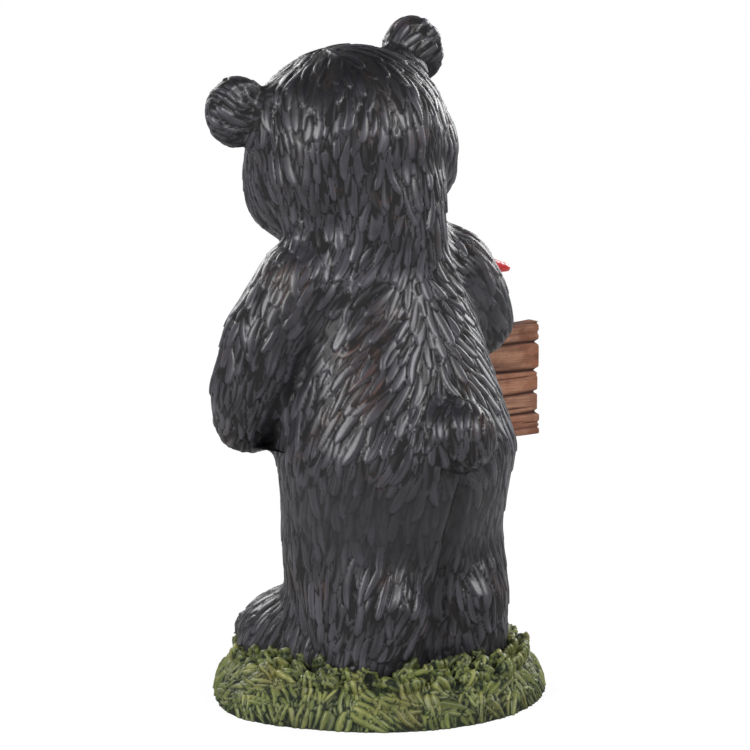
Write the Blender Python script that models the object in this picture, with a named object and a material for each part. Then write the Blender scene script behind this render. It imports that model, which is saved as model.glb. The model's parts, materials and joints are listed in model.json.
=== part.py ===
"""Bear garden statue in cast, painted resin. Metres, +Z up, origin at the centre of the underside.

A black bear stands upright on a mound of grass and looks over a plank sign board, which it holds across its
belly. A red bird sits on its right forearm. The bear faces -Y, so its left side is at +X and its back at +Y.
The bear and its grass are one casting. The board and the bird are castings of their own, glued in place.
"""
import math
import random

import bmesh
import bpy
import numpy as np
from mathutils import Euler, Matrix, Vector, kdtree

# The figure
BEAR_HEIGHT = 0.380          # soles to the tip of the higher ear
HEAD_ROLL = 15               # degrees that the head leans towards the bear's left
LOCK_LENGTH = 0.030          # one carved lock of fur
LOCK_WIDTH = 0.0125
LOCK_RELIEF = 0.0026

# The grass mound
BASE_WIDTH = 0.196           # side to side, without the bulge
BASE_DEPTH = 0.197           # front to back
BASE_BULGE = 0.008           # how far the mound swells on the bear's left
BULGE_BEARING = 0.10         # radians from +X
BULGE_SPREAD = 0.38
BASE_HEIGHT = 0.027          # underside to the top of the turf
SOLE_DEPTH = 0.007           # how deep the soles sit in the turf
BLADE_LENGTH = 0.019
BLADE_WIDTH = 0.008
BLADE_RELIEF = 0.0026
TUFT_COUNT = 26              # clumps of grass that lap up round the feet

# The sign board
BOARD_WIDTH = 0.194
BOARD_HEIGHT = 0.073
BOARD_THICKNESS = 0.011
BOARD_RIGHT_REACH = 0.157    # the bear's middle to the board's far end, on the bear's right
BOARD_BOTTOM = 0.129         # the board's lower edge above the underside
BOARD_PRESS = 0.006          # how deep the board's back is let into the belly
PLANK_COUNT = 5
PLANK_GROOVE = 0.0016        # depth of the gaps between planks
PLANK_SETBACK = 0.002        # how far the shortest plank ends behind the longest
PLANK_RIM = 0.0018           # half the width of a gap
NOTCH_DEPTH = 0.0035         # how far a gap bites into the board's ends
GRAIN_WANDER = 0.0011
PLANK_STEPS = 10             # faces along a plank

# The bird
BIRD_LENGTH = 0.072          # beak to the tip of the tail
SEAT_RADIUS = 0.014          # flat on the forearm that the bird is glued to

GLUE_GAP = 0.0003            # between a glued piece and its bed
FLESH_VOXEL = 0.003
FORM_VOXEL = 0.0021
BEAR_TRIANGLES = 8300
BIRD_TRIANGLES = 700
FINE_FAVOUR = 6e-5           # how much the thinning spares the face and the paws

U = BEAR_HEIGHT / 380        # the bear is drawn in 380ths of its own height
SOLES = BASE_HEIGHT - SOLE_DEPTH
BELLY_FRONT = -56 * U
BOARD_BACK = BELLY_FRONT + BOARD_PRESS
BOARD_FRONT = BOARD_BACK - BOARD_THICKNESS
BOARD_TOP = BOARD_BOTTOM + BOARD_HEIGHT
BOARD_LEFT_END = BOARD_WIDTH - BOARD_RIGHT_REACH
FOREARM_RADIUS = 18 * U
FOREARM_Z = BOARD_TOP + FOREARM_RADIUS - 0.002
HEAD_CENTRE = Vector((9, -20, 308))
HEAD_TURN = Euler((0, math.radians(HEAD_ROLL), 0)).to_matrix()
EAR = {-1: (-63.5, -7, 34), 1: (62, -7, 36)}    # right and left, in the head's own upright frame
CHEEK = {-1: (-38, -9, -28), 1: (34, -9, -20)}
EYE = (22, -57, 15)
NOSE = (0, -87, -7)
TAIL = ((-3, 79, 146), (22, 19, 21))
EAR_HOLLOW = 6
LEFT_PALM = (BOARD_LEFT_END + 0.007, BOARD_BOTTOM + 0.42 * BOARD_HEIGHT)    # across and up
RIGHT_PALM_ACROSS = -86
BIRD_SEAT = (-0.087, BOARD_FRONT + 0.004, FOREARM_Z + FOREARM_RADIUS - 0.0015)

# The bear's trunk and limbs: centres and radii, in the bear's 380ths
TRUNK = (
    (-1, 14, 70, 66, 52, 40),
    (-1, 14, 100, 70, 60, 40),
    (-1, 15, 130, 73, 69, 40),
    (0, 9, 165, 66, 59, 40),
    (0, 5, 195, 59, 50, 36),
    (0, -2, 225, 54, 45, 34),
    (1, -8, 250, 47, 41, 30),
    (3, -13, 268, 43, 39, 28),
)
NECK = ((8, -14, 306, 52, 50, 47), (4, -1, 280, 43, 43, 36), (2, 6, 256, 37, 38, 30), (2, 2, 212, 34, 34, 26))
FILLS = (
    ((31, -6, 245), (27, 30, 22)),
    ((-30, -6, 245), (22, 27, 21)),
)
LEGS = {
    -1: ((-29, 13, 120, 43, 53, 40), (-29, 10, 80, 42, 48, 34), (-29, 17, 44, 36, 56, 25),
         (-30, 15, 12, 38, 52, 30)),
    1: ((26, 13, 120, 42, 52, 40), (26, 10, 80, 41, 47, 34), (27, 17, 44, 38, 56, 25),
        (30, 15, 12, 39, 52, 30)),
}
BETWEEN_LEGS = ((-4, 12, 90, 26, 46, 30), (-4, 16, 14, 27, 48, 30))
FOOT = (43, -26, 8, 34, 41, 34)
LEFT_ARM = ((51, -4, 227, 28), (70, -12, 196, 27), (79, -18, 166, 24), (74, -30, 146, 20))
RIGHT_ARM = ((-48, 0, 227, 29), (-64, -4, 211, 26.5), (-73, -8, 197, 25))

# Creases pressed between the masses: depth and width in metres, then the line in the bear's 380ths
CREASES = (
    (0.0034, 0.0050, ((57, 16, 200), (65, 12, 174), (66, -5, 155), (70, -12, 138))),
    (0.0034, 0.0050, ((-55, 14, 200), (-63, 8, 178), (-66, -6, 160))),
    (0.0042, 0.0038, ((-4, 82, 121), (-2, 73, 100), (0, 66, 75), (0, 63, 45), (0, 65, 12))),
    (0.0030, 0.0038, ((-29, 74, 150), (-26, 74, 136), (-17, 79, 124), (-4, 82, 121), (10, 80, 126),
                      (18, 76, 140))),
    (0.0024, 0.0055, ((67, 0, 54), (68, 16, 32), (64, 37, 14))),
    (0.0024, 0.0055, ((-69, 0, 54), (-70, 16, 32), (-66, 37, 14))),
)


def at(point):
    """A place on the bear, given in 380ths of its height from the middle of its soles."""
    return Vector((point[0] * U, point[1] * U, point[2] * U + SOLES))


def share(x, y, z):
    """The same place the other way round: metres to the bear's own 380ths."""
    return (x / U, y / U, (z - SOLES) / U)


def on_head(point):
    """A point of the head's own upright frame, on the leaning head."""
    return tuple(HEAD_CENTRE + HEAD_TURN @ Vector(point))


def ball(bm, centre, radii, turn=(0, 0, 0)):
    """One lump of the modeller's clay: an ellipsoid, in the bear's 380ths."""
    place = Matrix.Translation(at(centre)) @ Euler([math.radians(a) for a in turn]).to_matrix().to_4x4()
    size = Matrix.Diagonal((*(r * U for r in radii), 1))
    bmesh.ops.create_icosphere(bm, subdivisions=4, radius=1, matrix=place @ size)


def head_ball(bm, centre, radii, turn=(0, 0, 0)):
    ball(bm, on_head(centre), radii, (turn[0], turn[1] + HEAD_ROLL, turn[2]))


def chain(bm, joints, step=6):
    """Lumps along a path, close enough to read as one limb. A joint is x, y, z and three radii."""
    for start, end in zip(joints, joints[1:]):
        a, b = np.array(start, float), np.array(end, float)
        count = max(2, round(float(np.linalg.norm((b - a)[:3])) / step))
        for i in range(count + 1):
            x = a + (b - a) * i / count
            ball(bm, x[:3], x[3:])


def limb(bm, joints):
    """A round limb: a joint is x, y, z and a radius."""
    chain(bm, [(*joint[:3], joint[3], joint[3], joint[3]) for joint in joints])


def left_hand():
    """The palm that closes round the board's left end."""
    return share(LEFT_PALM[0], (BOARD_BACK + BOARD_FRONT) / 2, LEFT_PALM[1])


def right_hand():
    """The palm that lies over the board's top edge."""
    return share(RIGHT_PALM_ACROSS * U, (BOARD_BACK + BOARD_FRONT) / 2, FOREARM_Z)


def add_flesh(bm):
    """The big forms, which blend softly into each other."""
    chain(bm, TRUNK, 9)
    chain(bm, BETWEEN_LEGS, 9)
    chain(bm, NECK, 7)
    for centre, radii in FILLS:
        ball(bm, centre, radii)
    ball(bm, *TAIL)
    head_ball(bm, (0, 0, 1.5), (60.5, 60, 54.5))
    head_ball(bm, (28, 0, 30), (20, 30, 20))
    head_ball(bm, (0, -56, -16), (30, 33, 25))
    for side in (-1, 1):
        x, y, z = EAR[side]
        head_ball(bm, CHEEK[side], (32, 38, 31))
        head_ball(bm, (side * 24, -2, -12), (42, 50, 40))
        head_ball(bm, (0.84 * x, y + 1, 0.8 * z), (12, 10, 21), (0, -side * 30, 0))
        chain(bm, LEGS[side], 12)
        foot = (side * FOOT[0], *FOOT[1:])
        chain(bm, (LEGS[side][-1], foot), 8)
    x, y, z = left_hand()
    limb(bm, (*LEFT_ARM, (x + 12, y + 12, z + 1, 17), (x, y, z, 16)))
    x, y, z = right_hand()
    limb(bm, (*RIGHT_ARM, (x + 3, y + 20, z + 1, 19), (x, y, z, 17)))


def add_paws(bm):
    """Fingers and toes, each with its claw."""
    hand_x, _, hand_z = left_hand()
    front = BOARD_FRONT / U
    for i in range(4):
        z = hand_z + 11 - 7.5 * i
        ball(bm, (hand_x - 8, front - 6, z), (8, 6, 4.6))
        ball(bm, (hand_x - 17, front - 4, z), (5, 2.4, 1.8), (0, 0, -12))
    hand_x, _, hand_z = right_hand()
    for i in range(4):
        x = hand_x - 12 + 8 * i
        ball(bm, (x, front - 6, hand_z - 11), (4.8, 6, 9))
        ball(bm, (x, front - 4, hand_z - 20), (1.9, 2.4, 5), (-12, 0, 0))
    for side in (-1, 1):
        for i in range(5):
            spread = math.radians(-34 + 17 * i)
            x = side * (FOOT[0] - 28 * math.sin(spread))
            y = FOOT[1] - 36 * math.cos(spread)
            ball(bm, (x, y, 13), (7.5, 9, 10))
            claw = (x - side * 7 * math.sin(spread), y - 7 * math.cos(spread), 11)
            ball(bm, claw, (2.4, 5, 2.6), (30, 0, -side * math.degrees(spread)))


def add_face(bm):
    """Brow, eyes, nose, jaw and ears."""
    head_ball(bm, NOSE, (12, 9, 8.5))
    head_ball(bm, (0, -60, -37), (17, 22, 10), (14, 0, 0))
    head_ball(bm, (0, -54, 10), (13, 16, 20), (-32, 0, 0))
    for side in (-1, 1):
        head_ball(bm, (side * 13, -75, -20), (14.5, 14, 11.5))
        head_ball(bm, (side * 24, -51, 28), (14, 10, 7), (0, side * 10, side * 12))
        head_ball(bm, (side * EYE[0], EYE[1], EYE[2]), (7.5, 7, 7.5))
        x, y, z = EAR[side]
        head_ball(bm, (x, y, z), (19, 7, 20))
        for i in range(13):
            turn = math.radians(-80 + 230 * i / 12)
            head_ball(bm, (x + side * 15 * math.sin(turn), y - 3, z + 16 * math.cos(turn)), (5, 8, 5))


def add_base(bm):
    """The mound: an outline turned round the middle, then stretched to the oval."""
    outline = ((0.0, -0.4), (1.0, -0.4), (1.0, 0.06), (0.99, 0.25), (0.97, 0.45), (0.94, 0.65), (0.89, 0.84),
               (0.80, 0.96), (0.0, 1.0))
    spun = bmesh.new()
    verts = [spun.verts.new((r, 0, z)) for r, z in outline]
    edges = [spun.edges.new(pair) for pair in zip(verts, verts[1:])]
    axis = {"cent": (0, 0, 0), "axis": (0, 0, 1), "angle": math.tau}
    bmesh.ops.spin(spun, geom=verts + edges, steps=72, use_merge=True, **axis)
    bmesh.ops.remove_doubles(spun, verts=spun.verts[:], dist=1e-4)
    size = Matrix.Diagonal((BASE_WIDTH / 2, BASE_DEPTH / 2, BASE_HEIGHT, 1))
    bmesh.ops.transform(spun, verts=spun.verts[:], matrix=size)
    for vert in spun.verts:
        off = (math.atan2(vert.co.y, vert.co.x) - BULGE_BEARING) / BULGE_SPREAD
        swell = 1 + BASE_BULGE / (BASE_WIDTH / 2) * math.exp(-off * off)
        vert.co.xy *= swell
    bmesh.ops.recalc_face_normals(spun, faces=spun.faces[:])
    mesh = bpy.data.meshes.new("mound")
    spun.to_mesh(mesh)
    spun.free()
    bm.from_mesh(mesh)


def add_tufts(bm):
    """Clumps of grass that lean out round the feet."""
    rng = random.Random(3)
    for i in range(TUFT_COUNT):
        turn = math.tau * i / TUFT_COUNT
        x, y, _ = share(0.74 * BASE_WIDTH / 2 * math.sin(turn), -0.77 * BASE_DEPTH / 2 * math.cos(turn), 0)
        z = (BASE_HEIGHT - SOLES) / U - 2
        size = (rng.uniform(7, 10), 5, rng.uniform(7, 10))
        ball(bm, (x, y, z), size, (rng.uniform(8, 24), 0, math.degrees(turn)))


def new_object(name, mesh):
    obj = bpy.data.objects.new(name, mesh)
    bpy.context.scene.collection.objects.link(obj)
    return obj


def from_bmesh(name, bm):
    mesh = bpy.data.meshes.new(name)
    bm.to_mesh(mesh)
    bm.free()
    return mesh


def applied(obj):
    """The object's mesh with its modifiers applied. The object itself goes."""
    graph = bpy.context.evaluated_depsgraph_get()
    mesh = bpy.data.meshes.new_from_object(obj.evaluated_get(graph))
    bpy.data.objects.remove(obj)
    return mesh


def melted(mesh, voxel, rounds):
    """Overlapping lumps made one skin, with its seams softened."""
    obj = new_object("clay", mesh)
    union = obj.modifiers.new("union", "REMESH")
    union.mode = "VOXEL"
    union.voxel_size = voxel
    soften = obj.modifiers.new("soften", "SMOOTH")
    soften.iterations = rounds
    return applied(obj)


def thinned(mesh, triangles, fine=()):
    """The mesh with about this many triangles, and closer ones in the balls named fine: centres and radii."""
    mesh.calc_loop_triangles()
    obj = new_object("clay", mesh)
    thin = obj.modifiers.new("thin", "DECIMATE")
    if fine:
        points, _ = mesh_arrays(mesh)
        kept = np.zeros(len(points), bool)
        for centre, radius in fine:
            kept |= np.linalg.norm(points - np.array(centre), axis=1) < radius
        group = obj.vertex_groups.new(name="coarse")
        group.add(np.nonzero(~kept)[0].tolist(), 1.0, "REPLACE")
        group.add(np.nonzero(kept)[0].tolist(), 0.5, "REPLACE")
        thin.vertex_group = group.name
        thin.vertex_group_factor = FINE_FAVOUR
    thin.ratio = triangles / len(mesh.loop_triangles)
    thin.use_collapse_triangulate = True
    return applied(obj)


# Where fur is combed: a place, how far it reaches, the way of the comb and how much the hair fans out from it
COMBS = (
    ((9, -10, 318), 55, (0, 0.35, -1), 0.5),
    ((9, -72, 300), 30, (0, 0.8, 0.7), 1.4),
    ((0, 44, 225), 50, (0, 0.1, -1), 0.95),
    ((0, 70, 150), 45, (0, 0.1, -1), 0.25),
    ((0, 100, 152), 17, (0, 0.3, -1), 0.5),
    ((0, -50, 215), 50, (0, -0.1, -1), 0.2),
    ((72, -12, 190), 34, (0.15, -0.1, -1), 0.1),
    ((66, -46, 140), 24, (-0.7, -0.7, -0.2), 0.1),
    ((-62, -6, 212), 30, (-0.45, -0.3, -1), 0.1),
    ((-82, -40, 200), 22, (-0.1, -1, -0.2), 0.1),
    ((32, 12, 70), 50, (0.05, 0, -1), 0.15),
    ((-32, 12, 70), 50, (-0.05, 0, -1), 0.15),
    ((48, -30, 24), 28, (0.35, -1, -0.5), 0.5),
    ((-48, -30, 24), 28, (-0.35, -1, -0.5), 0.5),
)


def combed(points, normals):
    """The way the fur lies at each point, along the skin."""
    flow = np.zeros_like(points)
    for centre, reach, way, fan in COMBS:
        offset = (points - np.array(at(centre))) / (reach * U)
        weight = np.exp(-(offset ** 2).sum(1)) + 1e-6
        flow += weight[:, None] * (np.array(way) + fan * offset)
    return along_skin(flow, normals)


def upright(points, normals):
    """The way grass grows: up, and outwards at the rim."""
    out = points * (1, 1, 0) / (BASE_WIDTH / 2)
    return along_skin(out + (0, 0, 1), normals)


def along_skin(flow, normals):
    flow = flow - (flow * normals).sum(1)[:, None] * normals
    return flow / np.maximum(np.linalg.norm(flow, axis=1), 1e-9)[:, None]


def scattered(points, flow, length, width, rng):
    """Picks points in random order, each clear of those before by about a stroke's length or width."""
    picked, grid = [], {}
    order = list(range(len(points)))
    rng.shuffle(order)
    for i in order[:len(order) // 3]:
        p = points[i]
        key = tuple(int(c // length) for c in p)
        near = [j for dx in (-1, 0, 1) for dy in (-1, 0, 1) for dz in (-1, 0, 1)
                for j in grid.get((key[0] + dx, key[1] + dy, key[2] + dz), ())]
        if near:
            offset = points[near] - p
            along = offset @ flow[i]
            across = np.sqrt(np.maximum((offset ** 2).sum(1) - along ** 2, 0))
            if ((along / (0.66 * length)) ** 2 + (across / (0.74 * width)) ** 2).min() < 1:
                continue
        picked.append(i)
        grid.setdefault(key, []).append(i)
    return picked


def stroke_heights(points, normals, flow, length, width, relief, rng):
    """The height of overlapping tool strokes. Each one swells from its root to a rounded tip."""
    heights = np.zeros(len(points))
    tree = kdtree.KDTree(len(points))
    for i, p in enumerate(points):
        tree.insert(p, i)
    tree.balance()
    for i in scattered(points, flow, length, width, rng):
        long, wide = length * rng.uniform(0.85, 1.25), width * rng.uniform(0.85, 1.2)
        tall, bend = relief * rng.uniform(0.75, 1.1), rng.uniform(-0.35, 0.35)
        tilt = rng.gauss(0, 0.16)
        near = np.array([j for _, j, _ in tree.find_range(points[i], long * 0.75)])
        offset = points[near] - points[i]
        side = np.cross(normals[i], flow[i])
        way = flow[i] * math.cos(tilt) + side * math.sin(tilt)
        side = np.cross(normals[i], way)
        u = (offset @ way) / long
        v = (offset @ side) / wide + bend * (u * u - 0.1) * long / wide
        girth = np.sqrt(np.clip(1 - (1.82 * u) ** 2, 0, 1))
        across = np.clip(1 - np.abs(2 * v / np.maximum(girth, 1e-3)) ** 2.2, 0, 1) * (girth > 0.05)
        rise = tall * across * (0.45 + 0.55 * (u + 0.55)) * (normals[near] @ normals[i] > 0.2)
        heights[near] = np.maximum(heights[near], rise)
    return heights


def mesh_arrays(mesh):
    points = np.empty(len(mesh.vertices) * 3, np.float32)
    normals = np.empty(len(mesh.vertices) * 3, np.float32)
    mesh.vertices.foreach_get("co", points)
    mesh.vertices.foreach_get("normal", normals)
    return points.reshape(-1, 3).astype(float), normals.reshape(-1, 3).astype(float)


def creased(points):
    """How deep the creases are pressed in at each point."""
    depth = np.zeros(len(points))
    for deep, wide, line in CREASES:
        ends = [np.array(at(p)) for p in line]
        for a, b in zip(ends, ends[1:]):
            along = np.clip((points - a) @ (b - a) / ((b - a) @ (b - a)), 0, 1)
            distance = np.linalg.norm(points - a - along[:, None] * (b - a), axis=1)
            depth = np.maximum(depth, deep * np.exp(-(distance / wide) ** 2))
    return depth


def bareness(points):
    """1 where the resin is smooth, as on the eyes and the muzzle, and 0 in full fur."""
    bare = np.zeros(len(points))
    spots = [(on_head((side * EYE[0], EYE[1], EYE[2])), 11) for side in (-1, 1)]
    spots += [(on_head((0, -74, -18)), 27), (left_hand(), 17), (right_hand(), 17)]
    for centre, radius in spots:
        distance = np.linalg.norm(points - np.array(at(centre)), axis=1) / (radius * U)
        bare = np.maximum(bare, np.clip(2 - distance * 1.4, 0, 1))
    return bare


def carve(mesh):
    """Cuts fur into the bear and blades into the mound."""
    points, normals = mesh_arrays(mesh)
    rng = random.Random(11)
    lie, growth = combed(points, normals), upright(points, normals)
    fur = stroke_heights(points, normals, lie, LOCK_LENGTH, LOCK_WIDTH, LOCK_RELIEF, rng)
    blades = stroke_heights(points, normals, growth, BLADE_LENGTH, BLADE_WIDTH, BLADE_RELIEF, rng)
    radius = np.hypot(points[:, 0] / (BASE_WIDTH / 2), points[:, 1] / (BASE_DEPTH / 2))
    turf = BASE_HEIGHT + 0.003 - 0.008 * np.clip(radius - 0.8, 0, 1)
    in_grass = points[:, 2] < turf
    skin = (fur - LOCK_RELIEF * 0.5) * (1 - bareness(points)) - creased(points)
    height = np.where(in_grass, blades - BLADE_RELIEF * 0.4, skin)
    points += normals * height[:, None]
    mesh.vertices.foreach_set("co", points.astype(np.float32).ravel())
    mesh.update()


def cup_ears(mesh):
    """Presses the hollow into the front of each ear."""
    points, normals = mesh_arrays(mesh)
    front = np.array(HEAD_TURN @ Vector((0, -1, 0)))
    for side in (-1, 1):
        centre = np.array(at(on_head((EAR[side][0], EAR[side][1] - 7, EAR[side][2]))))
        share_in = 1 - (((points - centre) / (13 * U)) ** 2).sum(1)
        depth = np.clip(share_in, 0, 1) * (normals @ front > 0.15) * EAR_HOLLOW * U
        points -= front * depth[:, None]
    mesh.vertices.foreach_set("co", points.astype(np.float32).ravel())
    mesh.update()


def flat_underside(mesh):
    """Cuts the casting off flat at its underside."""
    bm = bmesh.new()
    bm.from_mesh(mesh)
    geom = bm.verts[:] + bm.edges[:] + bm.faces[:]
    ground = {"plane_co": (0, 0, 0), "plane_no": (0, 0, -1)}
    cut = bmesh.ops.bisect_plane(bm, geom=geom, dist=1e-6, clear_outer=True, **ground)
    rim = [e for e in cut["geom_cut"] if isinstance(e, bmesh.types.BMEdge)]
    bmesh.ops.edgeloop_fill(bm, edges=rim)
    bmesh.ops.triangulate(bm, faces=bm.faces[:])
    bm.to_mesh(mesh)
    bm.free()


def painted(obj, name, colour, roughness):
    material = bpy.data.materials.new(name)
    material.use_nodes = True
    shader = material.node_tree.nodes["Principled BSDF"]
    shader.inputs["Base Color"].default_value = (*colour, 1)
    shader.inputs["Roughness"].default_value = roughness
    obj.data.materials.clear()
    obj.data.materials.append(material)
    material.diffuse_color = (*colour, 1)


def cutter(name, matrix, round_one=False):
    """A shape that only cuts."""
    bm = bmesh.new()
    if round_one:
        bmesh.ops.create_cone(bm, cap_ends=True, segments=32, radius1=1, radius2=1, depth=1, matrix=matrix)
    else:
        bmesh.ops.create_cube(bm, size=1, matrix=matrix)
    obj = new_object(name, from_bmesh(name, bm))
    obj.hide_render = True
    obj.display_type = "WIRE"
    return obj


def board_place(margin=0.0):
    """The box that the board fills, grown by a margin."""
    x = BOARD_LEFT_END - BOARD_WIDTH / 2
    y = (BOARD_BACK + BOARD_FRONT) / 2
    z = BOARD_BOTTOM + BOARD_HEIGHT / 2
    size = (BOARD_WIDTH + 2 * margin, BOARD_THICKNESS + 2 * margin, BOARD_HEIGHT + 2 * margin, 1)
    return Matrix.Translation((x, y, z)) @ Matrix.Diagonal(size)


def make_bear():
    bm = bmesh.new()
    add_flesh(bm)
    flesh = melted(from_bmesh("flesh", bm), FLESH_VOXEL, 14)
    bm = bmesh.new()
    bm.from_mesh(flesh)
    add_face(bm)
    add_paws(bm)
    add_base(bm)
    add_tufts(bm)
    form = melted(from_bmesh("form", bm), FORM_VOXEL, 3)
    cup_ears(form)
    carve(form)
    fine = [(at(on_head((0, -74, -4))), 42 * U), (at(left_hand()), 27 * U), (at(right_hand()), 27 * U)]
    mesh = thinned(form, BEAR_TRIANGLES, fine)
    flat_underside(mesh)
    bear = new_object("bear_on_grass", mesh)
    painted(bear, "painted_fur", (0.035, 0.032, 0.036), 0.45)
    slot = bear.modifiers.new("board_slot", "BOOLEAN")
    slot.object = cutter("board_slot_cutter", board_place(GLUE_GAP))
    seat = bear.modifiers.new("bird_seat", "BOOLEAN")
    seat.object = cutter("bird_seat_cutter", seat_space(0, 0.04), round_one=True)


def plank_rows():
    """The board's rows from the bottom up: height share, depth of the gap, and the setback of each end."""
    rng = random.Random(5)
    shares = [rng.uniform(0.7, 1.3) for _ in range(PLANK_COUNT)]
    edges = [sum(shares[:i]) / sum(shares) for i in range(PLANK_COUNT + 1)]
    rim = PLANK_RIM / BOARD_HEIGHT
    gap = (PLANK_GROOVE, (NOTCH_DEPTH, NOTCH_DEPTH))
    rows = []
    for low, high in zip(edges, edges[1:]):
        setback = [rng.uniform(0, PLANK_SETBACK) for _ in range(2)]
        rows += [(low, *gap), (low + rim, 0, setback), (high - rim, 0, setback)]
    rows.append((1.0, *gap))
    return rows


def plank_point(out, height, sunk, setback, along):
    """A point on the board's front or back face, where the gaps wander a little along the grain."""
    inside = 0 < height < 1
    left, right = BOARD_LEFT_END - setback[0], -BOARD_RIGHT_REACH + setback[1]
    wave = GRAIN_WANDER * math.sin(9 * height + 5.1 * along) * inside
    depth = sunk if inside else 0.5 * sunk
    y = (BOARD_BACK + BOARD_FRONT) / 2 + out * (BOARD_THICKNESS / 2 - depth)
    return (right + (left - right) * along, y, BOARD_BOTTOM + BOARD_HEIGHT * height + wave)


def make_board():
    """Rough planks cast side by side. Every gap bites into the ends, and the planks end unevenly."""
    bm = bmesh.new()
    sides = []
    for out in (-1, 1):
        grid = [[bm.verts.new(plank_point(out, *row, i / PLANK_STEPS)) for i in range(PLANK_STEPS + 1)]
                for row in plank_rows()]
        sides.append(grid)
        for a, b in zip(grid, grid[1:]):
            for i in range(PLANK_STEPS):
                bm.faces.new((a[i], a[i + 1], b[i + 1], b[i]))
    front, back = sides
    rims = [(front[0], back[0]), (front[-1], back[-1])]
    rims += [([line[end] for line in front], [line[end] for line in back]) for end in (0, -1)]
    for one, other in rims:
        for i in range(len(one) - 1):
            bm.faces.new((one[i], one[i + 1], other[i + 1], other[i]))
    bmesh.ops.recalc_face_normals(bm, faces=bm.faces[:])
    board = new_object("sign_board", from_bmesh("sign_board", bm))
    painted(board, "painted_wood", (0.30, 0.13, 0.07), 0.6)


def bird_ball(bm, centre, radii, turn=(0, 0, 0)):
    """A lump of the bird, in shares of its length from the middle of its seat. It faces the bear's left."""
    place = Matrix.Translation(Vector(BIRD_SEAT) + Vector(centre) * BIRD_LENGTH)
    spun = Euler([math.radians(a) for a in turn]).to_matrix().to_4x4()
    size = Matrix.Diagonal((*(r * BIRD_LENGTH for r in radii), 1))
    bmesh.ops.create_icosphere(bm, subdivisions=3, radius=1, matrix=place @ spun @ size)


def make_bird():
    bm = bmesh.new()
    bird_ball(bm, (0.0, 0, 0.16), (0.27, 0.18, 0.19), (0, -14, 0))
    bird_ball(bm, (0.20, 0, 0.36), (0.145, 0.135, 0.145))
    bird_ball(bm, (0.14, 0, 0.50), (0.11, 0.035, 0.05), (0, 48, 0))
    bird_ball(bm, (0.35, 0, 0.345), (0.08, 0.055, 0.055), (0, 12, 0))
    for side in (-1, 1):
        bird_ball(bm, (-0.05, side * 0.15, 0.17), (0.24, 0.05, 0.12), (0, -18, side * 4))
    for i in range(5):
        reach = i / 4
        radii = (0.10, 0.095 - 0.040 * reach, 0.105 - 0.060 * reach)
        bird_ball(bm, (-0.22 - 0.375 * reach, 0, 0.12 - 0.065 * reach), radii, (0, -10, 0))
    mesh = thinned(melted(from_bmesh("bird", bm), BIRD_LENGTH / 60, 3), BIRD_TRIANGLES)
    bird = new_object("bird", mesh)
    painted(bird, "glossy_red", (0.55, 0.01, 0.012), 0.22)
    foot = bird.modifiers.new("flat_foot", "BOOLEAN")
    foot.object = cutter("bird_foot_cutter", seat_space(-0.03, GLUE_GAP), round_one=True)


def seat_space(low, high):
    """A round room on the seat's axis, between two heights above the seat."""
    x, y, z = BIRD_SEAT
    size = Matrix.Diagonal((SEAT_RADIUS, SEAT_RADIUS, high - low, 1))
    return Matrix.Translation((x, y, z + (low + high) / 2)) @ size


def main():
    for obj in list(bpy.data.objects):
        bpy.data.objects.remove(obj)
    make_bear()
    make_board()
    make_bird()


if __name__ == "__main__":
    main()
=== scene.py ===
"""Bear garden statue: the looks of a cast, hand-painted resin bear that holds a plank sign board.

The bear faces -Y, so its left side is at +X. It is drawn in 380ths of its own height, from the middle of its
soles. Its mound, board and bird take their sizes and places from the frame.
"""
import json
import math
import random

import bmesh
import bpy
import numpy as np
from bpy.props import FloatProperty, FloatVectorProperty, IntProperty, PointerProperty
from mathutils import Euler, Matrix, Vector, kdtree

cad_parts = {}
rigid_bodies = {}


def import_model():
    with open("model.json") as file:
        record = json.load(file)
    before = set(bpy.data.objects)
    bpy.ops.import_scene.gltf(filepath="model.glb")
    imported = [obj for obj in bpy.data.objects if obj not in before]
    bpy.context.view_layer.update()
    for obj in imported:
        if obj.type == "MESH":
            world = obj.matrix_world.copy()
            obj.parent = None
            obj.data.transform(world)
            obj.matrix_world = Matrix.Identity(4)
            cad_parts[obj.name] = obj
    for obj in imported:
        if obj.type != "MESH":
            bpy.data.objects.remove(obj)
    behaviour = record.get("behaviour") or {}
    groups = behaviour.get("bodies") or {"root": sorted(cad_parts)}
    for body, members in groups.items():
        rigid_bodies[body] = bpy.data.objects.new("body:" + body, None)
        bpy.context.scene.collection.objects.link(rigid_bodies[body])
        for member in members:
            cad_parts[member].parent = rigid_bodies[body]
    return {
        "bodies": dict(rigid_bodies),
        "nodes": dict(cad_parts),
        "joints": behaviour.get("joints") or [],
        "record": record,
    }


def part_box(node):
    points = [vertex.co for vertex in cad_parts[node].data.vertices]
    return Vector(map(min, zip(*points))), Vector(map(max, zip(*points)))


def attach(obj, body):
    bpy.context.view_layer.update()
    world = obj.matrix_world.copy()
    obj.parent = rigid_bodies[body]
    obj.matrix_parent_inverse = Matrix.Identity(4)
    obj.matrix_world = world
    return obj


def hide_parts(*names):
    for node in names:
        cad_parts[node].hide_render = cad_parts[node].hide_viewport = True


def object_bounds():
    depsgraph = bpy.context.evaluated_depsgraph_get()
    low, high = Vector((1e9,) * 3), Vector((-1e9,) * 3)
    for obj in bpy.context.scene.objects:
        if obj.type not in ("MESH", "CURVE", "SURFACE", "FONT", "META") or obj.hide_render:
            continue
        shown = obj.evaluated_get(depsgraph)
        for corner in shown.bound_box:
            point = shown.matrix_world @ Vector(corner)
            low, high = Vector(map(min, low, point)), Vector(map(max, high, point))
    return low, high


bl_info = {
    "name": "Bear garden statue",
    "version": (1, 0, 0),
    "blender": (4, 5, 0),
    "location": "View3D > Sidebar > Bear statue",
    "description": "Models and paints a cast resin bear that holds a sign board",
    "category": "Add Mesh",
}

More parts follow.
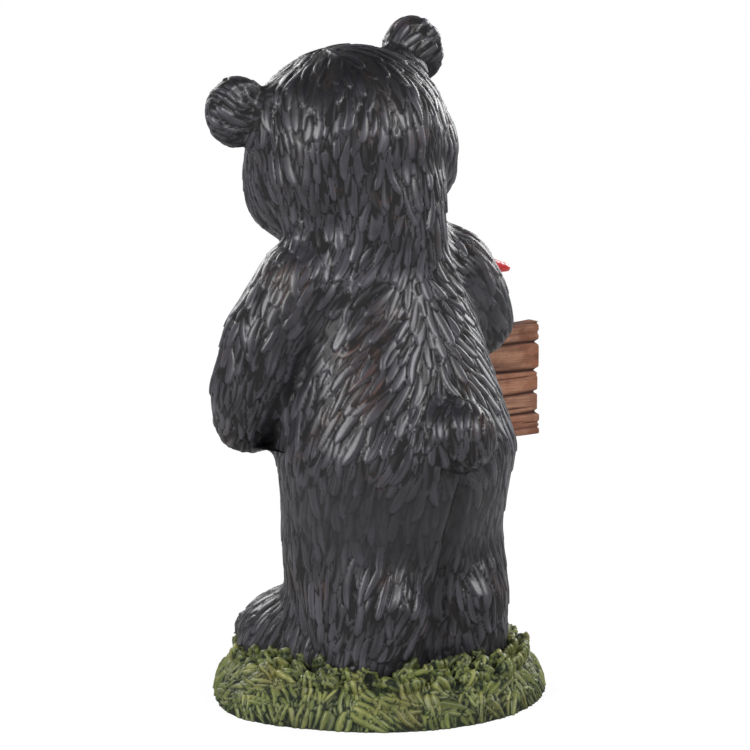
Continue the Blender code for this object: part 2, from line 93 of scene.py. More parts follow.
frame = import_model()
CAD_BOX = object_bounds()
BEAR_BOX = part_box("bear_on_grass")
BOARD_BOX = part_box("sign_board")
BOARD_MIDDLE = (BOARD_BOX[0] + BOARD_BOX[1]) / 2
BOARD_SIZE = BOARD_BOX[1] - BOARD_BOX[0]

# The figure
FIGURE_HEIGHT = 0.380
U = FIGURE_HEIGHT / 380
TURF = 0.027
SOLES = 0.020
HEAD_ROLL = 15
HEAD_CENTRE = Vector((9, -20, 308))
HEAD_TURN = Euler((0, math.radians(HEAD_ROLL), 0)).to_matrix()
EAR = {-1: (-63.5, -7, 34), 1: (62, -7, 36)}
CHEEK = {-1: (-38, -9, -28), 1: (34, -9, -20)}
EYE = (22, -57, 15)
NOSE = (0, -87, -7)
TAIL = ((-3, 79, 146), (22, 19, 21))

# The bear's trunk and limbs: centres and radii, in the bear's 380ths
TRUNK = (
    (-1, 14, 70, 66, 52, 40),
    (-1, 14, 100, 70, 60, 40),
    (-1, 15, 130, 73, 69, 40),
    (0, 9, 165, 66, 59, 40),
    (0, 5, 195, 59, 50, 36),
    (0, -2, 225, 54, 45, 34),
    (1, -8, 250, 47, 41, 30),
    (3, -13, 268, 43, 39, 28),
)
NECK = ((8, -14, 306, 52, 50, 47), (4, -1, 280, 43, 43, 36), (2, 6, 256, 37, 38, 30), (2, 2, 212, 34, 34, 26))
FILLS = (
    ((31, -6, 245), (27, 30, 22)),
    ((42, -4, 263), (20, 17, 17)),
    ((-30, -6, 245), (22, 27, 21)),
)
LEGS = {
    -1: ((-29, 13, 120, 43, 53, 40), (-29, 10, 80, 42, 48, 34),
         (-29, 17, 44, 36, 56, 25), (-30, 15, 12, 38, 52, 30)),
    1: ((26, 13, 120, 42, 52, 40), (26, 10, 80, 41, 47, 34),
        (27, 17, 44, 38, 56, 25), (30, 15, 12, 39, 52, 30)),
}
BETWEEN_LEGS = ((-4, 12, 90, 26, 46, 30), (-4, 16, 14, 27, 48, 30))
FOOT = (43, -26, 8, 34, 41, 34)
LEFT_ARM = ((51, -4, 227, 28), (70, -12, 196, 27), (79, -18, 166, 24), (74, -30, 146, 20))
RIGHT_ARM = ((-48, 0, 227, 29), (-64, -4, 211, 26.5), (-73, -8, 197, 25))

# The paws and what they hold
LEFT_PALM_OUT = 0.007
RIGHT_PALM_X = -0.086
FOREARM_RADIUS = 18 * U
FOREARM_Z = BOARD_BOX[1].z + FOREARM_RADIUS - 0.002
BIRD_LENGTH = 0.072
BIRD_SEAT = Vector((-0.087, BOARD_BOX[0].y + 0.004, FOREARM_Z + FOREARM_RADIUS - 0.0015))

# The bird's parts: centres, radii and turns, in shares of its length
BIRD_BEAK = (
    ((0.37, 0, 0.350), (0.075, 0.045, 0.040), (0, 16, 0)),
    ((0.36, 0, 0.325), (0.055, 0.036, 0.026), (0, 6, 0)),
)
BIRD_EYES = (
    ((0.265, -0.105, 0.395), (0.024, 0.020, 0.024), (0, 0, 0)),
    ((0.265, 0.105, 0.395), (0.024, 0.020, 0.024), (0, 0, 0)),
)
EYE_BROWN = (0.018, 0.009, 0.006)

# How the fur is meshed: the spacing of the soft first form, the rounds that soften it, the height in the turf
# where it ends, and the levels where it is parted, with the lip that turns in there
FLESH_DETAIL = 0.003
SOFTENING = 14
FUR_FOOT = 0.010
SLAB_HEIGHTS = (0, 0.085, 0.150, 0.200, 0.257, 0.320, BEAR_BOX[1].z + 0.01)
SLAB_LIP = 0.003

# Each layer of strokes: its height, and how closely the strokes are set
LAYERS = ((0.66, 0.45), (1.0, 0.64))

# The random seed of each pattern, and how many places are tried for its strokes
FUR_SEED, FUR_TRIES = 11, 90000
TUFT_SEED, TUFT_TRIES = 21, 40000
FEATHER_SEED, FEATHER_TRIES = 9, 9000
CLUMP_SEED, PLANK_SEED, GRAIN_SEED = 3, 5, 8

# How deep the marks are cut: the line round a stroke, the mouth and the inner ear
GROOVE_CUT = 0.0003
MOUTH_CUT = 0.0012
EAR_CUT = 6 * U

# The mound
BASE_WIDTH = 0.196
BASE_DEPTH = 0.197
BASE_BULGE = 0.008
BULGE_BEARING = 0.10
BULGE_SPREAD = 0.38
MOUND_OUTLINE = (
    (0.0, -0.4), (1.01, -0.4), (1.01, 0.06), (0.995, 0.25), (0.97, 0.42),
    (0.925, 0.62), (0.87, 0.80), (0.79, 0.94), (0.0, 1.0),
)
CLUMP_RINGS = ((0.71, 11), (0.79, 9), (0.87, 5.5))

# The marks on the planks
GAP_WIDTH = 0.0011
GRAIN_DEPTH = 0.0010
END_REACH = 0.012


def size(name, about, default, precision=4):
    """A setting that is a length in metres."""
    return FloatProperty(name=name, description=about, default=default, unit="LENGTH", precision=precision)


def tint(name, about, *default):
    """A setting that is a paint, in linear red, green and blue."""
    return FloatVectorProperty(name=name, description=about, default=default, subtype="COLOR", size=3)


class FurSettings(bpy.types.PropertyGroup):
    """The bear's tooled fur"""

    stroke_length: size("Stroke length", "Length of one stroke of the modelling tool", 0.0200)
    stroke_width: size("Stroke width", "Width of one stroke", 0.0079)
    stroke_relief: size("Stroke relief", "How far a stroke stands out", 0.0017)
    detail: size("Mesh detail", "Spacing of the carved mesh", 0.00098, 5)
    coat: tint("Coat", "Black paint of the fur", 0.0245, 0.0235, 0.0285)
    # The groove paint is partly painted shade in the grooves, and the dry brush partly a painted highlight on
    # the raised strokes
    groove: tint("Groove", "Paint that lies in the grooves", 0.003, 0.003, 0.0035)
    brush: tint("Dry brush", "Grey brushed over the raised strokes", 0.090, 0.087, 0.105)
    rust: tint("Rust", "Red-brown that warms some strokes", 0.085, 0.040, 0.030)
    muzzle: tint("Muzzle", "Tan paint of the muzzle", 0.30, 0.165, 0.075)
    claw: tint("Claws", "Horn grey of the claws", 0.10, 0.085, 0.07)


class GrassSettings(bpy.types.PropertyGroup):
    """The grass mound"""

    tuft_length: size("Tuft length", "Length of one tuft of grass", 0.020)
    tuft_width: size("Tuft width", "Width of one tuft", 0.0135)
    tuft_relief: size("Tuft relief", "How far a tuft stands out", 0.0042)
    detail: size("Mesh detail", "Spacing of the carved mesh", 0.00088, 5)
    clumps: IntProperty(
        name="Clumps", description="Clumps in each of the rings that lap up the feet", default=34, min=0)
    green: tint("Green", "Olive green of the grass", 0.096, 0.120, 0.027)
    # The shade green is painted shade between the tufts and round the feet, and the straw yellow partly a
    # painted highlight on the tufts
    shade: tint("Shade", "Dark green between the tufts", 0.006, 0.012, 0.004)
    straw: tint("Straw", "Yellow brushed over the tufts", 0.33, 0.33, 0.110)
    dry: tint("Dry", "Brown-yellow of the dry patches", 0.19, 0.165, 0.035)


class BoardSettings(bpy.types.PropertyGroup):
    """The sign board"""

    planks: IntProperty(name="Planks", description="Planks from top edge to bottom edge", default=5, min=1)
    grain: IntProperty(name="Grain grooves", description="Grooves of grain on each face", default=26, min=0)
    gap: size("Gap", "Depth of the gaps between planks", 0.0016)
    detail: size("Mesh detail", "Spacing of the carved mesh", 0.0009, 5)
    wood: tint("Wood", "Red-brown paint of the board", 0.205, 0.071, 0.034)
    worn: tint("Worn", "Paler paint on the raised grain", 0.52, 0.28, 0.17)


class BirdSettings(bpy.types.PropertyGroup):
    """The small bird"""

    red: tint("Red", "Glossy red of the feathers", 0.50, 0.010, 0.012)
    beak: tint("Beak", "Orange of the beak", 0.65, 0.16, 0.02)


class StageSettings(bpy.types.PropertyGroup):
    """The view and the studio"""

    distance: size("Distance", "From the camera to the statue", 1.8)
    azimuth: FloatProperty(
        name="Azimuth", description="Where the camera stands round the statue, in degrees", default=146.0)
    elevation: FloatProperty(
        name="Elevation", description="How far the camera looks down, in degrees", default=10.0)
    frame_height: size("Frame height", "Height of the picture at the statue", 0.44325, 5)


class StatueSettings(bpy.types.PropertyGroup):
    """Sizes and colours of the statue"""

    fur: PointerProperty(type=FurSettings, name="Fur", description="The bear's tooled fur")
    grass: PointerProperty(type=GrassSettings, name="Grass", description="The grass mound")
    board: PointerProperty(type=BoardSettings, name="Board", description="The sign board")
    bird: PointerProperty(type=BirdSettings, name="Bird", description="The small bird")
    stage: PointerProperty(type=StageSettings, name="Stage", description="The view and the studio")


def at(point):
    """A place on the bear, given in 380ths of its height from the middle of its soles."""
    return Vector((point[0] * U, point[1] * U, point[2] * U + SOLES))


def share(x, y, z):
    """Metres to the bear's own 380ths."""
    return (x / U, y / U, (z - SOLES) / U)


def on_head(point):
    """A point of the head's own upright frame, on the leaning head."""
    return tuple(HEAD_CENTRE + HEAD_TURN @ Vector(point))


def turned(turn):
    return Euler([math.radians(a) for a in turn]).to_matrix().to_4x4()


def ball(bm, centre, radii, turn=(0, 0, 0), subdivisions=4):
    """One lump of the modeller's clay: an ellipsoid, in the bear's 380ths."""
    size = Matrix.Diagonal((*(r * U for r in radii), 1))
    place = Matrix.Translation(at(centre)) @ turned(turn) @ size
    bmesh.ops.create_icosphere(bm, subdivisions=subdivisions, radius=1, matrix=place)


def head_ball(bm, centre, radii, turn=(0, 0, 0), subdivisions=4):
    ball(bm, on_head(centre), radii, (turn[0], turn[1] + HEAD_ROLL, turn[2]), subdivisions)


def chain(bm, joints, step=6):
    """Lumps along a path, close enough to read as one limb. A joint is x, y, z and three radii."""
    for start, end in zip(joints, joints[1:]):
        a, b = np.array(start, float), np.array(end, float)
        count = max(2, round(float(np.linalg.norm((b - a)[:3])) / step))
        for i in range(count + 1):
            x = a + (b - a) * i / count
            ball(bm, x[:3], x[3:])


def limb(bm, joints):
    """A round limb: a joint is x, y, z and a radius."""
    chain(bm, [(*joint[:3], joint[3], joint[3], joint[3]) for joint in joints])


def left_hand():
    """The palm that closes round the board's left end."""
    return share(BOARD_BOX[1].x + LEFT_PALM_OUT, BOARD_MIDDLE.y, BOARD_BOX[0].z + 0.42 * BOARD_SIZE.z)


def right_hand():
    """The palm that lies over the board's top edge."""
    return share(RIGHT_PALM_X, BOARD_MIDDLE.y, FOREARM_Z)


def add_flesh(bm):
    """The big forms, which blend softly into each other."""
    chain(bm, TRUNK, 9)
    chain(bm, BETWEEN_LEGS, 9)
    chain(bm, NECK, 7)
    for centre, radii in FILLS:
        ball(bm, centre, radii)
    ball(bm, *TAIL)
    head_ball(bm, (0, 0, 1.5), (60.5, 60, 54.5))
    head_ball(bm, (28, 0, 30), (20, 30, 20))
    head_ball(bm, (0, -56, -16), (30, 33, 25))
    for side in (-1, 1):
        x, y, z = EAR[side]
        head_ball(bm, CHEEK[side], (32, 38, 31))
        head_ball(bm, (side * 24, -2, -12), (42, 50, 40))
        head_ball(bm, (0.84 * x, y + 1, 0.8 * z), (12, 10, 21), (0, -side * 30, 0))
        chain(bm, LEGS[side], 12)
        foot = (side * FOOT[0], *FOOT[1:])
        chain(bm, (LEGS[side][-1], foot), 8)
    x, y, z = left_hand()
    limb(bm, (*LEFT_ARM, (x + 12, y + 12, z + 1, 17), (x, y, z, 16)))
    x, y, z = right_hand()
    limb(bm, (*RIGHT_ARM, (x + 3, y + 20, z + 1, 19), (x, y, z, 17)))


def add_face(bm):
    """Brow, eyelids, muzzle, jaw and ears."""
    head_ball(bm, (0, -60, -37), (17, 22, 10), (14, 0, 0))
    head_ball(bm, (0, -54, 10), (13, 16, 20), (-32, 0, 0))
    for side in (-1, 1):
        head_ball(bm, (side * 13, -75, -20), (14.5, 14, 11.5))
        head_ball(bm, (side * 24, -51, 28), (14, 10, 7), (0, side * 10, side * 12))
        head_ball(bm, (side * EYE[0], EYE[1] + 2.6, EYE[2] + 0.4), (8.6, 7.4, 8.2))
        x, y, z = EAR[side]
        head_ball(bm, (x, y, z), (19, 7, 20))
        for i in range(25):
            turn = math.radians(-80 + 230 * i / 24)
            head_ball(bm, (x + side * 15 * math.sin(turn), y - 3, z + 16 * math.cos(turn)), (5, 8, 5))


def fingers():
    """Where each finger lies and where its claw starts: centre, radii, claw root, claw turn in degrees."""
    front = BOARD_BOX[0].y / U
    x, _, z = left_hand()
    for i in range(4):
        height = z + 11 - 7.5 * i
        yield (x - 8, front - 6, height), (8, 6, 4.6), (x - 17, front - 4.5, height), (0, -90, -12)
    x, _, z = right_hand()
    for i in range(4):
        across = x - 12 + 8 * i
        yield (across, front - 6, z - 11), (4.8, 6, 9), (across, front - 4.5, z - 20), (-168, 0, 0)


def toes():
    for side in (-1, 1):
        for i in range(5):
            spread = math.radians(-34 + 17 * i)
            x = side * (FOOT[0] - 28 * math.sin(spread))
            y = FOOT[1] - 36 * math.cos(spread)
            root = (x - side * 3 * math.sin(spread), y - 3 * math.cos(spread), 12)
            yield (x, y, 13), (7.5, 9, 10), root, (140, 0, -side * math.degrees(spread))


def add_digits(bm):
    for centre, radii, _, _ in [*fingers(), *toes()]:
        ball(bm, centre, radii, subdivisions=3)


def new_object(name, mesh):
    obj = bpy.data.objects.new(name, mesh)
    bpy.context.scene.collection.objects.link(obj)
    return obj


def from_bmesh(name, bm):
    mesh = bpy.data.meshes.new(name)
    bm.to_mesh(mesh)
    bm.free()
    return mesh


def vectors(items, field):
    """One vector of each vertex or attribute value, as rows."""
    values = np.empty(len(items) * 3, np.float32)
    items.foreach_get(field, values)
    return values.reshape(-1, 3)


def applied(obj):
    """The object's mesh with its modifiers applied. The object itself goes."""
    graph = bpy.context.evaluated_depsgraph_get()
    mesh = bpy.data.meshes.new_from_object(obj.evaluated_get(graph))
    bpy.data.objects.remove(obj)
    return mesh


def melted(mesh, voxel, rounds):
    """Overlapping lumps made one skin, with its seams softened."""
    obj = new_object("clay", mesh)
    union = obj.modifiers.new("union", "REMESH")
    union.mode = "VOXEL"
    union.voxel_size = voxel
    soften = obj.modifiers.new("soften", "SMOOTH")
    soften.iterations = rounds
    return applied(obj)


def cut_flat(bm, height, keep_above=True):
    """Cuts the mesh off level at a height and closes it."""
    geom = bm.verts[:] + bm.edges[:] + bm.faces[:]
    way = (0, 0, -1) if keep_above else (0, 0, 1)
    cut = bmesh.ops.bisect_plane(
        bm, geom=geom, dist=1e-6, plane_co=(0, 0, height), plane_no=way, clear_outer=True)
    rim = [e for e in cut["geom_cut"] if isinstance(e, bmesh.types.BMEdge)]
    bmesh.ops.edgeloop_fill(bm, edges=rim)


# Creases pressed between the masses: depth and width in metres, then the line in 380ths
CREASES = (
    (0.0034, 0.0050, ((57, 16, 200), (65, 12, 174), (66, -5, 155), (70, -12, 138))),
    (0.0034, 0.0050, ((-55, 14, 200), (-63, 8, 178), (-66, -6, 160))),
    (0.0042, 0.0038, ((-4, 82, 121), (-2, 73, 100), (0, 66, 75), (0, 63, 45), (0, 65, 12))),
    (0.0030, 0.0038,
     ((-29, 74, 150), (-26, 74, 136), (-17, 79, 124), (-4, 82, 121), (10, 80, 126), (18, 76, 140))),
    (0.0024, 0.0055, ((67, 0, 54), (68, 16, 32), (64, 37, 14))),
    (0.0024, 0.0055, ((-69, 0, 54), (-70, 16, 32), (-66, 37, 14))),
)


def creased(points):
    """How deep the creases are pressed in at each point."""
    depth = np.zeros(len(points))
    for deep, wide, line in CREASES:
        ends = [np.array(at(p)) for p in line]
        for a, b in zip(ends, ends[1:]):
            along = np.clip((points - a) @ (b - a) / ((b - a) @ (b - a)), 0, 1)
            distance = np.linalg.norm(points - a - along[:, None] * (b - a), axis=1)
            depth = np.maximum(depth, deep * np.exp(-(distance / wide) ** 2))
    return depth


class Skin:
    """A fine mesh while it is carved: its points, its normals and a tree of neighbours."""

    def __init__(self, mesh):
        self.mesh = mesh
        self.points = self.read("co")
        self.normals = self.read("normal")
        self.tree = kdtree.KDTree(len(self.points))
        for i, p in enumerate(self.points):
            self.tree.insert(p, i)
        self.tree.balance()

    def read(self, name):
        return vectors(self.mesh.vertices, name).astype(float)

    def place(self):
        self.mesh.vertices.foreach_set("co", self.points.astype(np.float32).ravel())
        self.mesh.update()

    def raise_by(self, height):
        self.points = self.points + self.normals * height[:, None]
        self.place()

    def paint(self, name, values):
        """Stores one value a point, which the materials read."""
        layer = self.mesh.attributes.new(name, "FLOAT", "POINT")
        layer.data.foreach_set("value", np.asarray(values, np.float32))

    def along(self, flow):
        """A flow laid on the skin, at unit length."""
        flow = flow - (flow * self.normals).sum(1)[:, None] * self.normals
        return flow / np.maximum(np.linalg.norm(flow, axis=1), 1e-9)[:, None]

    def scatter(self, flow, length, width, rng, where, tries, spacing):
        """Points in random order, each clear of those before by about a stroke's length or width."""
        reach = float(length.max())
        picked, cells = [], {}
        for i in rng.choices(np.nonzero(where)[0].tolist(), k=tries):
            p = self.points[i]
            key = tuple(int(c // reach) for c in p)
            near = [j for dx in (-1, 0, 1) for dy in (-1, 0, 1) for dz in (-1, 0, 1)
                    for j in cells.get((key[0] + dx, key[1] + dy, key[2] + dz), ())]
            if near:
                offset = self.points[near] - p
                along = offset @ flow[i]
                across = np.sqrt(np.maximum((offset ** 2).sum(1) - along ** 2, 0))
                apart = (along / (spacing * length[i])) ** 2 + (across / (1.15 * spacing * width[i])) ** 2
                if apart.min() < 1:
                    continue
            picked.append(i)
            cells.setdefault(key, []).append(i)
        return picked

    def strokes(self, flow, length, width, relief, rng, where, tries, profile, wild=0.15):
        """Lays overlapping strokes, a low layer and one over it.

        Gives their height and how clear each point is of the line where one stroke ends on another. Stores a
        random tone for each stroke, and a value that runs across each stroke for the streaks along it.
        """
        count = len(self.points)
        height, beneath, tone, streak = np.zeros(count), np.zeros(count), np.full(count, 0.5), np.zeros(count)
        seeds = [(i, layer) for layer, close in LAYERS
                 for i in self.scatter(flow, length, width, rng, where, tries, close)]
        for i, layer in seeds:
            long, wide = length[i] * rng.uniform(0.75, 1.35), width[i] * rng.uniform(0.68, 1.22)
            tall = layer * relief[i] * rng.uniform(0.8, 1.15)
            bend, tilt = rng.uniform(-0.45, 0.45), rng.gauss(0, wild)
            near = np.array([j for _, j, _ in self.tree.find_range(self.points[i], long * 0.56)])
            offset = self.points[near] - self.points[i]
            side = np.cross(self.normals[i], flow[i])
            way = flow[i] * math.cos(tilt) + side * math.sin(tilt)
            side = np.cross(self.normals[i], way)
            u = (offset @ way) / long
            v = 2 * (offset @ side) / wide + bend * (u * u - 0.1) * 2 * long / wide
            rise = tall * profile(u, v, rng) * (self.normals[near] @ self.normals[i] > 0.2)
            shows = rise > height[near]
            beneath[near] = np.where(shows, height[near], np.maximum(beneath[near], rise))
            height[near[shows]] = rise[shows]
            tone[near[shows]] = rng.random()
            streak[near[shows]] = v[shows] + rng.uniform(0, 40)
        self.paint("tone", tone)
        self.paint("streak", streak)
        return height, np.clip((height - beneath) / (0.22 * relief), 0, 1)


def lens(u, v, root, tip):
    """How far inside a stroke a point lies, from 0 at its edge to 1 along its middle."""
    ends = np.where(u < 0, np.clip(1 - np.abs(2 * u) ** root, 0, 1), np.clip(1 - np.abs(2 * u) ** tip, 0, 1))
    girth = np.sqrt(ends)
    return np.clip(1 - np.abs(v) / np.maximum(girth, 1e-3), 0, 1) * (girth > 0.05)


def lock_profile(u, v, rng):
    """One stroke of fur, which rises to a rounded tip. One edge is higher, and some strokes are dished."""
    inside = lens(u, v, 2.2, 4.0)
    lean, dish = rng.uniform(-0.3, 0.3), rng.choice((0, 0, 0.3))
    body = 1 - (1 - inside) ** 3.4
    return body * (1 + lean * v - dish * inside) * (0.5 + 0.5 * (u + 0.5))


def tuft_profile(u, v, rng):
    """One tuft of grass: a fan that widens to a round tip, ribbed into blades."""
    root = np.clip(u + 0.5, 0, 1)
    fan = v / (0.35 + 0.65 * np.minimum(root * 1.7, 1))
    inside = lens(u, fan, 2.4, 3.6)
    blades = 0.5 + 0.5 * np.cos(rng.uniform(8, 11) * fan + rng.uniform(0, 6) + rng.uniform(-3, 3) * u)
    body = 1 - (1 - inside) ** 2.4
    return body * (0.4 + 0.6 * blades) * (0.35 + 0.65 * root)


def both(place, reach, way, *rest, frame=tuple):
    """One lay of the fur on the bear's left, and the same on its right."""
    (x, y, z), (across, *down) = place, way
    return [(frame((side * x, y, z)), reach, (side * across, *down), *rest) for side in (1, -1)]


# How the fur lies: a place, its reach, the way it is combed, how it fans out and swirls, then the length,
# width and relief of its strokes as shares of the coat's own
LAYS = (
    (on_head((0, 30, 20)), 46, (0, 0.2, -1), 0.45, 0, 1.05, 1.0, 1.05),
    (on_head((0, 30, -30)), 40, (0, 0.1, -1), 0.0, 0, 1.1, 1.0, 1.0),
    (on_head((0, 5, 58)), 24, (0, 0.8, -0.1), 1.3, 0, 1.0, 0.9, 0.7),
    *both((46, -8, -12), 30, (-0.05, 0.35, -1), 0.0, 0, 1.0, 0.85, 0.9, frame=on_head),
    (on_head((0, -60, 30)), 26, (0, 0.5, 1), 0.8, 0, 0.65, 0.7, 0.6),
    *both((30, -52, -18), 22, (0.9, 0.6, -0.5), 0.3, 0, 0.7, 0.75, 0.7, frame=on_head),
    (on_head((0, -76, -16)), 24, (0, 1, -0.1), 1.2, 0, 0.4, 0.5, 0.3),
    (on_head((66, -3, 39)), 15, (1.5, 0.0, 1.0), 0.9, 0, 0.95, 0.85, 1.15),
    (on_head((-68, -3, 37)), 15, (-1.5, 0.0, 1.0), 0.9, 0, 0.95, 0.85, 1.15),
    *both((44, 6, 24), 14, (-0.1, 0.5, -1), 0.3, 0, 0.9, 0.85, 0.9, frame=on_head),
    ((6, 36, 255), 26, (0, 0.2, -1), 0.5, 0, 1.1, 1.0, 1.0),
    ((0, 48, 225), 34, (0, 0.1, -1), 1.0, 0, 1.1, 1.0, 1.05),
    ((-3, 62, 185), 36, (0, 0.1, -1), 1.5, 0, 1.2, 1.0, 1.05),
    ((40, 46, 190), 30, (0.85, 0, -1), 0.2, 0, 1.2, 1.0, 1.05),
    ((-44, 40, 190), 30, (-0.85, 0, -1), 0.2, 0, 1.2, 1.0, 1.05),
    ((46, 46, 150), 28, (0.75, 0, -1), 0.2, 0, 1.2, 1.0, 1.0),
    ((-48, 40, 150), 28, (-0.7, 0, -1), 0.2, 0, 1.2, 1.0, 1.0),
    ((-3, 94, 150), 22, (0, 0.2, -0.7), 0.5, 0.9, 0.8, 0.75, 0.95),
    *both((42, 60, 125), 26, (0.4, 0.1, -1), 0.2, 0, 1.2, 1.0, 0.9),
    ((0, -50, 215), 46, (0, -0.1, -1), 0.3, 0, 1.1, 1.0, 0.9),
    ((56, -2, 225), 24, (0.55, 0, -1), 0.3, 0, 1.1, 1.0, 0.95),
    ((78, -14, 180), 26, (0.1, -0.1, -1), 0.2, 0, 1.2, 1.0, 1.0),
    ((78, -26, 145), 20, (-0.35, -0.7, -0.45), 0.2, 0, 1.0, 0.9, 0.9),
    ((-56, 0, 225), 24, (-0.5, -0.1, -1), 0.3, 0, 1.1, 1.0, 0.95),
    ((-72, -12, 204), 20, (-0.35, -0.7, -0.8), 0.2, 0, 0.9, 0.9, 0.9),
    ((-84, -42, 200), 18, (-0.1, -1, -0.2), 0.2, 0, 0.8, 0.8, 0.8),
    *both((34, 20, 92), 38, (0.06, 0, -1), 0.1, 0, 1.3, 0.95, 0.5),
    ((30, 52, 44), 26, (0.55, 0.2, -1), 0.3, 0, 1.15, 0.95, 1.3),
    ((-34, 52, 44), 26, (-0.3, 0.2, -1), 0.3, 0, 1.15, 0.95, 1.3),
    *both((56, -10, 34), 26, (0.6, -0.25, -0.9), 0.5, 0, 1.1, 0.95, 1.0),
    *both((50, -50, 22), 24, (0.2, -1, -0.5), 0.5, 0, 0.9, 0.9, 0.9),
)


# Places given painted shade, where the fur is painted darker: centre, radii and how much
SHADE_SPOTS = (
    (on_head((4, 14, 48)), (52, 46, 26), 0.95),
    ((0, 40, 94), (80, 60, 32), 0.65),
    ((-44, 10, 50), (40, 60, 60), 0.30),
    ((74, -12, 196), (24, 34, 50), 0.30),
    ((54, -40, 20), (40, 40, 36), 0.30),
    ((-3, 92, 142), (22, 20, 20), 0.30),
    ((-60, 20, 215), (34, 30, 34), 0.35),
)


# Places where the strokes are scooped out and leave ridges between them, which the paint lightens as a
# painted highlight: centre, radii and how much
SCOOPS = (
    ((0, 40, 98), (80, 60, 30), 0.50),
    ((-66, 0, 212), (30, 36, 36), 0.42),
    ((62, -10, 215), (24, 30, 26), 0.3),
)


def comb(skin):
    """The way the fur lies at each point, and the length, width and relief of its strokes there."""
    flow = np.zeros_like(skin.points)
    strokes = np.zeros((len(skin.points), 3))
    total = np.zeros(len(skin.points))
    for centre, reach, way, fan, swirl, *stroke in LAYS:
        offset = (skin.points - np.array(at(centre))) / (reach * U)
        weight = np.exp(-(offset ** 2).sum(1)) + 1e-7
        turn = np.cross(np.array((0, 1, 0)), offset)
        flow += weight[:, None] * (np.array(way) + fan * offset + swirl * turn)
        strokes += weight[:, None] * np.array(stroke)
        total += weight
    return skin.along(flow), *(strokes / total[:, None]).T


def on_face(points):
    """The points in the head's own upright frame, in the bear's 380ths."""
    units = (points - np.array((0, 0, SOLES))) / U - np.array(HEAD_CENTRE)
    return units @ np.array(HEAD_TURN)


def soft_spot(local, centre, radii, edge=0.25):
    """1 inside an ellipsoid, fading to 0 past its edge. Points and ellipsoid are in one frame."""
    distance = np.sqrt((((local - np.array(centre)) / np.array(radii)) ** 2).sum(1))
    return np.clip((1 + edge - distance) / (2 * edge), 0, 1)


def mouth_line(local):
    """How near each point is to the line of the mouth: a short line down from the nose, and a smile."""
    x, y, z = local.T
    smile = np.where(np.abs(x) < 19, np.abs(z + 30 - 0.022 * x * x), 9)
    middle = np.where((z > -30) & (z < -12), np.abs(x), 9)
    return np.exp(-(np.minimum(smile, middle) / 1.1) ** 2) * (y < -58)


def places(points, table):
    """The strongest of the soft places of a table at each point."""
    body = (points - np.array((0, 0, SOLES))) / U
    return np.max([deep * soft_spot(body, centre, radii, 0.5) for centre, radii, deep in table], axis=0)


def hollow_ears(skin):
    """Presses the hollow into the front of each ear."""
    local = on_face(skin.points)
    inner = np.zeros(len(local))
    facing = skin.normals @ np.array(HEAD_TURN) @ np.array((0, -1, 0))
    for side in (-1, 1):
        x, y, z = EAR[side]
        share_in = 1 - (((local - np.array((x, y - 7, z))) / 13) ** 2).sum(1)
        inner = np.maximum(inner, np.clip(share_in, 0, 1) * (facing > 0.15))
    front = np.array(HEAD_TURN @ Vector((0, -1, 0)))
    skin.points = skin.points - front * (inner * EAR_CUT)[:, None]
    skin.place()
    skin.normals = skin.read("normal")
    return inner


def carve_fur(skin, settings, inner_ear):
    """Cuts the strokes, the mouth and the smooth places, and stores what the paint follows."""
    rng = random.Random(FUR_SEED)
    flow, length, width, relief = comb(skin)
    local = on_face(skin.points)
    muzzle = soft_spot(local, (0, -74, -20), (30, 30, 26), 0.2)
    smooth = np.maximum(soft_spot(local, NOSE, (13, 10, 10)), 0.7 * np.clip(inner_ear * 4, 0, 1))
    for side in (-1, 1):
        smooth = np.maximum(smooth, soft_spot(local, (side * EYE[0], EYE[1], EYE[2]), (10, 9, 10)))
    relief = relief * settings.stroke_relief
    where = skin.points[:, 2] > TURF - 0.012
    length, width = length * settings.stroke_length, width * settings.stroke_width
    height, clear = skin.strokes(flow, length, width, relief, rng, where, FUR_TRIES, lock_profile)
    line = mouth_line(local)
    pressed = creased(skin.points)
    scooped = places(skin.points, SCOOPS)
    cut = GROOVE_CUT * (1 - clear) * (1 - 1.5 * scooped)
    skin.raise_by((height - cut - 0.5 * relief) * (1 - smooth) - pressed - line * MOUTH_CUT)
    level = np.clip(height / np.maximum(relief, 1e-9), 0, 1)
    # What the paint follows: low at each stroke's root and along the line where it meets the next, a painted
    # shade, and high at its tip and, where scooped, along the ridges, a painted highlight
    edge = clear * (0.42 + 0.58 * level) * (1 - scooped) + (0.30 + 0.25 * level + 0.6 * (1 - clear)) * scooped
    skin.paint("relief", edge * (1 - smooth) + 0.6 * smooth)
    # Painted shade: the fur is darker in the pressed creases and in the shade spots
    skin.paint("shade", np.clip(1 - pressed / 0.004, 0.1, 1) * (1 - places(skin.points, SHADE_SPOTS)))
    skin.paint("tan", muzzle)
    skin.paint("ink", np.maximum(line, np.clip(inner_ear * 3, 0, 1) * 0.6))


def turn_in(bm):
    """Turns a lip in from each open edge, in the mesh's own order, so that each run gives the same faces."""
    lay = bm.verts.layers.float_vector["lie"]
    rim = [e for e in bm.edges if e.is_boundary]
    inner = {}
    for vert in (v for e in rim for v in e.verts):
        if vert not in inner:
            inner[vert] = bm.verts.new(vert.co - vert[lay] * SLAB_LIP, vert)
    for loop in [e.link_loops[0] for e in rim]:
        a, b = loop.vert, loop.link_loop_next.vert
        bm.faces.new((b, a, inner[a], inner[b]))


